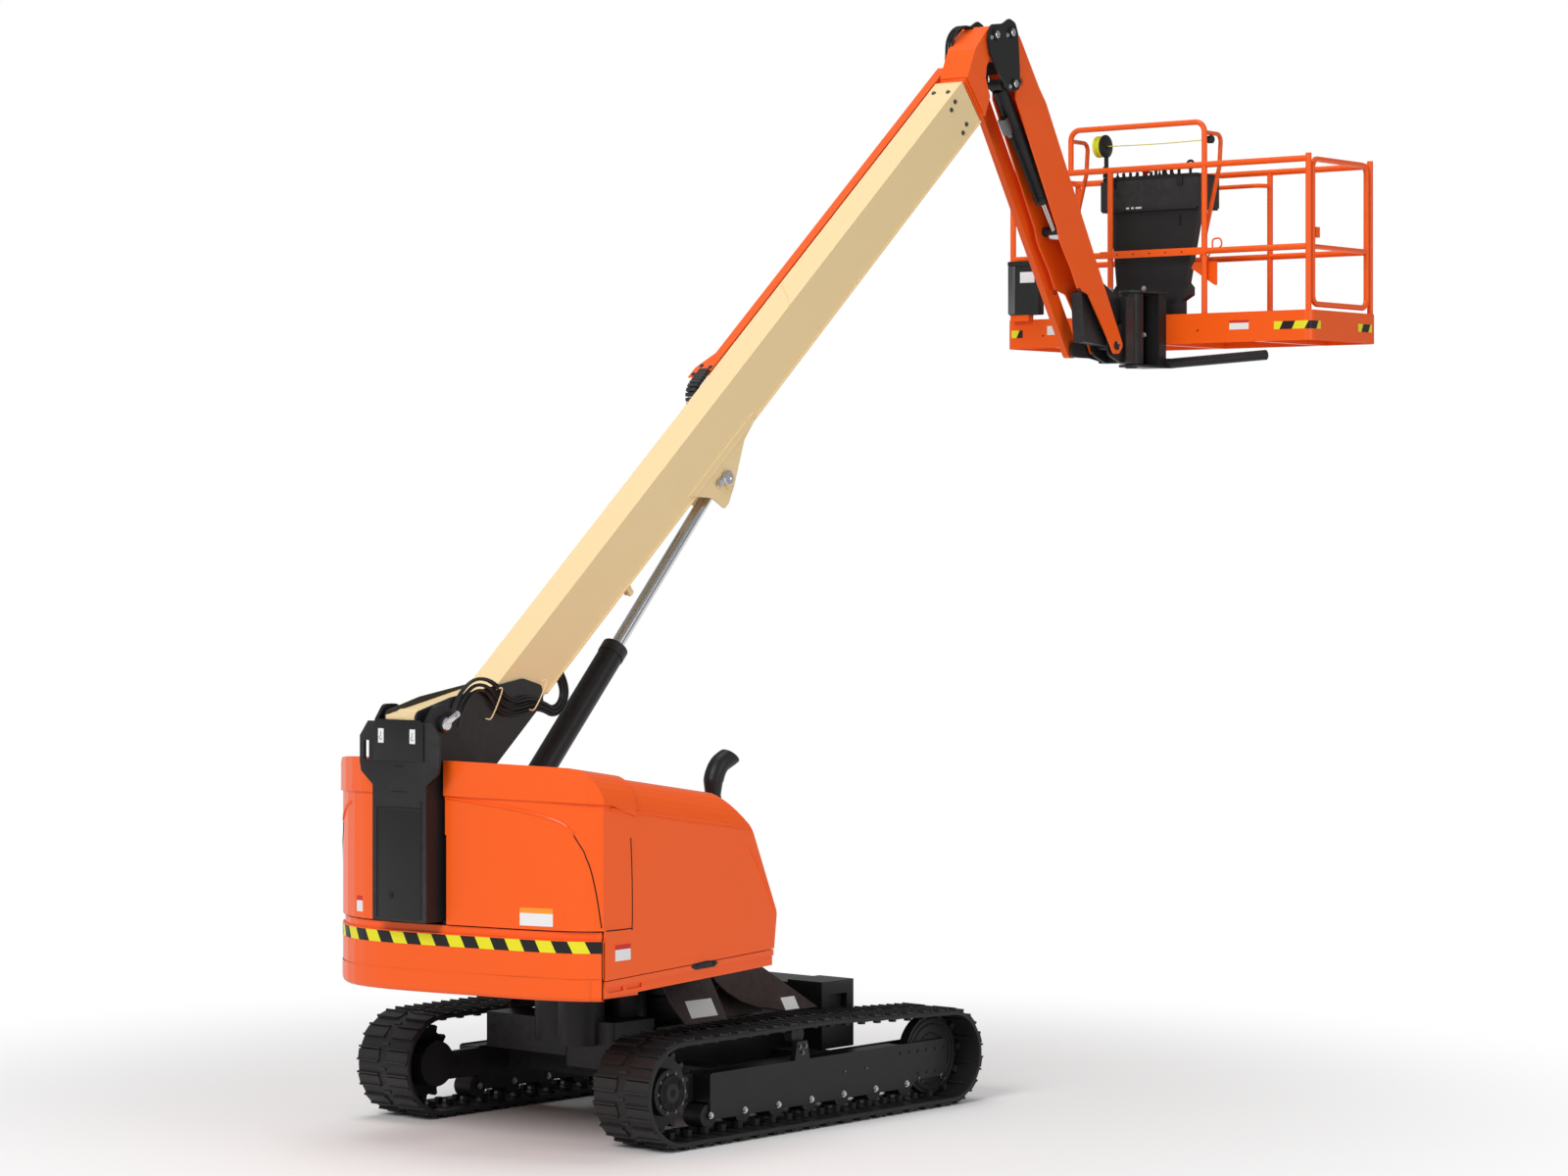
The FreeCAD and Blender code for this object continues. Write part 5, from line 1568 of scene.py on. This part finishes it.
# ---------------------------------------------------------------- jib
@dataclass(frozen=True)
class JibTrim:
    """Pin heads, keepers, bushes, hard line, valve block, hose and cover of the jib."""

    pins: Sequence[Pair] = ((0.0, 0.0), (0.175, 0.030), (0.205, -0.295))
    bushes: Sequence[Pair] = ((0.297, -0.117), (0.329, -0.041))
    arm_face: float = 0.095
    low: Point = (3.39833, 0.111, 6.16964)
    high: Point = (3.915, 0.111, 5.455)

    def build(self) -> None:
        """Make the jib's trim."""
        for side, name in SIDES:
            self._pins(side, name)
            self._arm(side, name)
        self._cylinder()
        self._cover()

    def _pins(self, side: int, name: str) -> None:
        """Chromed pin ends with screwed keepers on the bracket.

        Args:
            side: 1 for left and -1 for right.
            name: name of the side.
        """
        ends = Piece("bracket_pins_" + name, "jib_bracket", "rod_chrome", HEAD)
        for x, z in self.pins:
            ends.lathe((x, side * 0.141, z), (0, side, 0),
                       [(0, 0), (0.024, 0), (0.024, 0.004), (0.020, 0.007), (0, 0.007)], 24)
        ends.done()
        spots = [((x - 0.052, side * 0.1315, z - 0.022), (0, side, 0)) for x, z in self.pins]
        screws("bracket_keepers_" + name, "jib_bracket", HEAD, spots, 0.010)

    def _arm(self, side: int, name: str) -> None:
        """Ring bushes at the arm's ear, and foot bolts.

        Args:
            side: 1 for left and -1 for right.
            name: name of the side.
        """
        y, out = side * self.arm_face, (0, side, 0)
        rings = Piece("arm_bushes_" + name, "jib_arm", "black_satin", JIB)
        for x, z in self.bushes:
            rings.arc((x, y, z), out, 0.026, 0.0022)
            rings.studs([(x, y, z)], out, (0.002, 0.002), 0.016, 0.001, 18)
        rings.arc((1.800, y + side * 0.001, -0.186), out, 0.016, 0.004, (80, 250))
        rings.done()
        bolts = [((x, y, 0.018), out) for x in (2.318, 2.352)]
        screws("arm_foot_bolts_" + name, "jib_arm", JIB, bolts, 0.011)

    def _cylinder(self) -> None:
        """Hard line, valve block and hose loop of the jib cylinder, and the pin through its rod's end."""
        low = Vector(self.low)
        along = (Vector(self.high) - low).normalized()
        out = Vector((along.z, 0, -along.x))
        bends = ((0.16, 0.045), (0.19, 0.066), (0.80, 0.066), (0.83, 0.045))
        line = [low + along * run + out * stand for run, stand in bends]
        Piece("jib_hard_line", "jib_barrel", "black_satin").tube(smooth_path(line), 0.008, 10).done()
        centre, size = low + along * 0.26 + out * 0.076, Vector((0.028, 0.030, 0.058))
        tip = centre + along * 0.085
        turn = Matrix.Rotation(math.atan2(along.z, -along.x) + math.pi / 2, 4, "Y")
        block = Piece("jib_valve_block", "jib_barrel", "grey_steel")
        block.block(centre - size, centre + size, 0.004, turn)
        block.rod(centre + along * 0.05, tip, 0.016, 0.003, 6).done()
        self._loop(tip, along, out)
        pin = [(0, 0), (0.030, 0), (0.034, 0.004), (0.034, 0.040), (0.030, 0.044)]
        length = 0.176
        profile = pin + [(radius, length - height) for radius, height in reversed(pin)]
        cross = Piece("jib_rod_trunnion", "jib_arm", "black_satin")
        cross.lathe(low + along * 1.112 - Vector((0, length / 2, 0)), (0, 1, 0), profile, 24).done()

    @staticmethod
    def _loop(tip: Vector, along: Vector, out: Vector) -> None:
        """Hang the hose that loops from the valve block back to the barrel.

        Args:
            tip: end of the valve block's fitting.
            along: direction of the cylinder.
            out: direction from the cylinder to the block.
        """
        side, radius = Vector((0, -1, 0)), 0.034
        route = [tip, tip + along * 0.030 - side * 0.003]
        for turn in (10, 50, 95, 140, 185):
            a = math.radians(turn)
            route.append(tip + along * (0.062 + radius * 1.1 * math.sin(a))
                         + side * (radius - 0.004 - radius * 1.1 * math.cos(a)))
        route += [tip + along * 0.015 + side * 0.062 - out * 0.012,
                  tip - along * 0.035 + side * 0.056 - out * 0.046]
        Hose("jib_loop_hose", "jib_barrel", YARD, route, 0.007).hang()

    @staticmethod
    def _cover() -> None:
        """Dark cover between the arm's legs, on the platform support."""
        outline = [(1.860, -0.100), (2.150, -0.250), (2.330, -0.010), (2.330, 0.110), (2.120, 0.270),
                   (1.940, 0.160)]
        cover = Piece("support_cover", "platform_support", "black_satin", JIB)
        cover.plate(outline, (-0.045, 0.045), bevel=0.006).done()


# ---------------------------------------------------------------- platform
@dataclass(frozen=True)
class PlatformTrim:
    """Console fittings, reel, stripes, plates, hooks, boxes and rotator bolts of the platform."""

    rear: float = 5.240
    side: float = -1.109
    stripe: Pair = (4.645, 4.698)
    console: float = 5.336
    desk: float = 5.729
    reel: Sequence[float] = (5.350, 0.610, 5.945)
    rail: float = 5.190
    bolts: Sequence[Pair] = ((-0.020, 4.93), (-0.020, 4.62), (0.245, 4.93), (0.245, 4.62))

    def build(self) -> None:
        """Make the platform's trim."""
        self._stripes()
        self._toe_board()
        self._manual_box()
        self._console()
        self._levers()
        self._reel()
        self._hooks()
        screws("rotator_bolts", "platform", YARD, [((4.912, y, z), (-1, 0, 0)) for y, z in self.bolts])

    @staticmethod
    def _piece(name: str, finish: str) -> Piece:
        """Start a piece of the platform."""
        return Piece(name, "platform", finish)

    def _stripes(self) -> None:
        """Striped strips at the toe board's corners."""
        rear, side = self.rear, self.side
        corner = [(rear, -0.830), (rear, -0.90), (rear, -0.98), (rear, -1.050),
                  (rear + 0.005, side + 0.042), (rear + 0.018, side + 0.018), (rear + 0.042, side + 0.005),
                  (5.300, side), (5.340, side), (5.370, side)]
        back = [(x, side) for x in (5.860, 5.95, 6.045)]
        left = [(rear, y) for y in (1.285, 1.240, 1.190)]
        for label, points in (("corner", corner), ("side", back), ("left", left)):
            name = "toe_stripes_" + label
            strip = ribbon(name, smooth_path([(x, y, 0) for x, y in points]), UP, self.stripe)
            settle(wrapped(strip, "platform_floor", LIFT, False), name, "platform", "hazard_stripes")

    def _toe_board(self) -> None:
        """Blank plates and drain holes of the toe board."""
        for name, y, z, width, bar in (("right", -0.560, 4.684, 0.150, "label_red"),
                                       ("left", 0.920, 4.690, 0.130, None)):
            Plate("plate_toe_" + name, "platform", "platform_floor", (self.rear - 0.010, y, z), (0, -1, 0),
                  (width, 0.062), bar).lay()
        holes = [(self.rear, y, 4.655) for y in (-0.235, 1.020)]
        self._piece("toe_holes", "seam_dark").studs(holes, (-1, 0, 0), (0.002, 0.001), 0.007, 0.0004).done()

    def _manual_box(self) -> None:
        """Box for the manuals, with its lid, spine and blank plate."""
        rear = self.rear
        box = self._piece("manual_box", "console_plastic")
        box.block((rear - 0.068, 1.014, 4.800), (rear + 0.006, 1.262, 5.160), 0.008)
        box.block((rear - 0.074, 1.008, 5.140), (rear + 0.006, 1.268, 5.172), 0.005).done()
        spine = self._piece("manual_box_spine", "grey_steel")
        spine.block((rear - 0.073, 1.206, 4.806), (rear - 0.050, 1.266, 5.140), 0.006).done()
        plate = self._piece("manual_box_plate", "label_white")
        plate.block((rear - 0.0695, 1.045, 5.022), (rear - 0.067, 1.165, 5.096), 0.0006).done()

    def _console(self) -> None:
        """Lid clasps, an eye knob, a ledge, a slot and small tags."""
        face, eye = self.console, self.console + 0.060
        fit = self._piece("console_fittings", "console_plastic")
        for y in (-0.020, 0.520):
            fit.block((face + 0.008, y - 0.022, 5.650), (face + 0.022, y + 0.022, 5.715), 0.004)
            fit.rod((face + 0.004, y, 5.662), (face + 0.020, y, 5.662), 0.010)
        fit.arc((eye, -0.080, 5.790), (1, 0, 0), 0.026, 0.009)
        fit.rod((eye, -0.080, 5.728), (eye, -0.080, 5.768), 0.010)
        fit.block((face + 0.010, -0.150, 5.488), (face + 0.300, 0.606, 5.502)).done()
        slot = self._piece("console_slots", "seam_dark")
        slot.block((face + 0.0385, -0.020, 5.380), (face + 0.0405, 0.000, 5.450), 0.0005).done()
        tags = self._piece("console_tags", "label_white")
        for y, half in ((0.400, 0.012), (0.360, 0.010), (0.312, 0.024)):
            tags.block((face + 0.018, y - half, 5.506), (face + 0.0205, y + half, 5.518), 0.0004)
        tags.done()

    def _levers(self) -> None:
        """Two rows of levers with round knobs, and the red stop button."""
        knob = [(0, 0), (0.013, 0), (0.011, 0.010), (0.006, 0.016), (0.006, 0.034), (0.013, 0.042),
                (0.015, 0.052), (0.011, 0.061), (0, 0.064)]
        knobs = self._piece("console_knobs", "console_plastic")
        for first, count in ((0.005, 4), (0.345, 5)):
            for k in range(count):
                knobs.lathe((self.console + 0.050, first + 0.052 * k, self.desk), UP, knob, 16)
        knobs.done()
        button = [(0, 0), (0.012, 0), (0.012, 0.020), (0.026, 0.024), (0.026, 0.036), (0.020, 0.042),
                  (0, 0.043)]
        stop = self._piece("stop_button", "button_red")
        stop.lathe((self.console + 0.080, 0.290, self.desk), UP, button, 24).done()

    def _reel(self) -> None:
        """Yellow reel with its black side, its line and the black stop at the line's end."""
        (x, y, z), right = self.reel, (0, -1, 0)
        drum = [(0, 0), (0.060, 0), (0.074, 0.008), (0.074, 0.024), (0.066, 0.030), (0.066, 0.036),
                (0.074, 0.042), (0.074, 0.058), (0.060, 0.064), (0, 0.064)]
        self._piece("line_reel", "reel_yellow").lathe((x, y + 0.035, z), right, drum, 28).done()
        side = [(0, 0), (0.076, 0), (0.080, 0.004), (0.080, 0.012), (0.070, 0.018), (0.020, 0.020),
                (0.016, 0.028), (0, 0.028)]
        cheek = self._piece("reel_cheek", "black_satin").lathe((x, y - 0.028, z), right, side, 32)
        cheek.block((x - 0.014, y - 0.050, 5.800), (x + 0.014, y - 0.030, 5.900))
        cheek.block((x - 0.014, y - 0.050, 5.730), (x + 0.014, y - 0.020, 5.806)).done()
        line = [(x, y - 0.050 - 0.79 * k / 8, z - 0.006 * math.sin(math.pi * k / 8)) for k in range(9)]
        self._piece("reel_line", "reel_yellow").tube(line, 0.0032).done()
        stop = [(0, 0), (0.010, 0), (0.012, 0.012), (0.026, 0.018), (0.028, 0.050), (0.020, 0.058),
                (0, 0.058)]
        self._piece("line_stop", "black_satin").lathe((x, -0.232, z), right, stop, 18).done()

    def _hooks(self) -> None:
        """Rope hooks on the mid rail, the perforated bar with its holes, and the bracket's plate."""
        hooks = self._piece("rope_hooks", "orange_gloss")
        bend = ((0, 0.010), (0, 0.060), (0.014, 0.078), (0.052, 0.080), (0.070, 0.060), (0.070, 0.032),
                (0.056, 0.020))
        for x, y in ((5.276, -0.330), (6.050, 0.250)):
            path = smooth_path([(x, y - across, self.rail + high) for across, high in bend], 5)
            hooks.tube(path, 0.006)
        hooks.done()
        bar = self._piece("perforated_bar", "orange_gloss")
        bar.block((5.253, -0.290, 5.165), (5.258, 0.560, 5.215), 0.001).done()
        spots = [(5.2530, -0.10 + 0.13 * k, self.rail) for k in range(5)]
        holes = self._piece("bar_holes", "seam_dark")
        holes.studs(spots, (-1, 0, 0), (0.0002, 0.001), 0.006, 0.0003).done()
        outline = [(-0.330, 5.120), (-0.170, 5.120), (-0.145, 5.080), (-0.330, 4.960), (-0.350, 4.960),
                   (-0.350, 5.120)]
        self._piece("bracket_plate", "orange_gloss").plate(outline, (5.300, 5.306), Facing.X).done()


# ---------------------------------------------------------------- studio
@dataclass(frozen=True)
class Studio:
    """Pale floor, soft light and the camera."""

    eye: Point = (-17.998, -14.865, 3.353)
    heading_deg: float = 52.0
    lens: float = 93.375
    shift_y: float = -0.0406
    floor_size: float = 400.0
    lowest: float = -0.001
    fade: Pair = (2.2, 6.5)
    soft: float = 0.34
    aim: Point = (1.5, 0.0, 2.4)

    def build(self) -> None:
        """Make the floor, the backdrop, the lights and the camera."""
        self._floor()
        self._world()
        for name, place, size, power in (("key_light", (-17.0, -3.0, 13.0), 8.0, 2150.0),
                                         ("side_light", (1.0, -17.0, 7.0), 9.0, 620.0),
                                         ("top_light", (0.0, 2.0, 18.0), 9.0, 950.0)):
            self._light(name, place, size, power)
        self._camera()

    def _floor(self) -> None:
        """Make the pale floor, which keeps the shadow and turns white with distance."""
        half, z = self.floor_size / 2, self.lowest
        mesh = bpy.data.meshes.new("studio_floor")
        mesh.from_pydata([(-half, -half, z), (half, -half, z), (half, half, z), (-half, half, z)], [],
                         [(0, 1, 2, 3)])
        floor = bpy.data.objects.new("studio_floor", mesh)
        bpy.context.scene.collection.objects.link(floor)
        material = bpy.data.materials.new("floor_pale")
        material.use_nodes = True
        mesh.materials.append(material)
        graph = Graph(material.node_tree)
        shader = graph.tree.nodes["Principled BSDF"]
        graph.feed(shader, {"Base Color": (0.90, 0.90, 0.90, 1.0), "Roughness": 0.9})
        here = graph.add("ShaderNodeTexCoord", {})["Object"]
        far = graph.add("ShaderNodeVectorMath", {0: here}, operation="LENGTH")["Value"]
        fade = graph.add("ShaderNodeMapRange", {"Value": far, "From Min": self.fade[0],
                                                "From Max": self.fade[1]},
                         interpolation_type="SMOOTHSTEP")["Result"]
        path = graph.add("ShaderNodeLightPath", {})
        seen = graph.math("MAXIMUM", path["Is Camera Ray"], path["Is Glossy Ray"])
        white = graph.add("ShaderNodeEmission", {"Color": WHITE})["Emission"]
        graph.shade(shader.outputs["BSDF"], white, graph.math("MULTIPLY", fade, seen), "Material Output")

    def _world(self) -> None:
        """White background for the camera, softer light for the rest."""
        world = bpy.data.worlds.new("studio_world")
        bpy.context.scene.world = world
        world.use_nodes = True
        graph = Graph(world.node_tree)
        soft = graph.tree.nodes["Background"]
        graph.feed(soft, {"Color": WHITE, "Strength": self.soft})
        white = graph.add("ShaderNodeBackground", {"Color": WHITE, "Strength": 1.0})["Background"]
        seen = graph.add("ShaderNodeLightPath", {})["Is Camera Ray"]
        graph.shade(soft.outputs["Background"], white, seen, "World Output")

    @staticmethod
    def _look(made: bpy.types.Object, place: Point, way: Vector) -> None:
        """Set a light or the camera in its place, looking a way.

        Args:
            made: the light or the camera.
            place: where it stands.
            way: direction that it looks.
        """
        made.location = place
        made.rotation_mode = "QUATERNION"
        made.rotation_quaternion = way.to_track_quat("-Z", "Y")
        bpy.context.scene.collection.objects.link(made)

    def _light(self, name: str, place: Point, size: float, power: float) -> None:
        """Add one soft area light aimed at the machine's middle.

        Args:
            name: name of the light.
            place: where it stands.
            size: edge length of its square.
            power: watts.
        """
        data = bpy.data.lights.new(name, "AREA")
        data.shape = "SQUARE"
        data.size = size
        data.energy = power
        self._look(bpy.data.objects.new(name, data), place, Vector(self.aim) - Vector(place))

    def _camera(self) -> None:
        """Set the level camera."""
        data = bpy.data.cameras.new("main_camera")
        data.sensor_width = 36.0
        data.lens = self.lens
        data.shift_y = self.shift_y
        data.clip_end = 1000.0
        camera = bpy.data.objects.new("main_camera", data)
        turn = math.radians(self.heading_deg)
        self._look(camera, self.eye, Vector((math.sin(turn), math.cos(turn), 0.0)))
        bpy.context.scene.camera = camera


def main() -> None:
    """Build the looks in order and report each piece."""
    logging.basicConfig(level=logging.INFO, format="%(message)s")
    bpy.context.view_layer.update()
    Wardrobe.open()
    Studio().build()
    LOG.info("%d parts dressed", Shell().dress())
    for assembly in (Tracks(), SideFrames(), Tail(), Exhaust(), BoomTrim(), JibTrim(), PlatformTrim()):
        LOG.info("building %s", type(assembly).__name__)
        assembly.build()
    bpy.context.scene.view_settings.view_transform = "Standard"


if __name__ == "__main__":
    main()
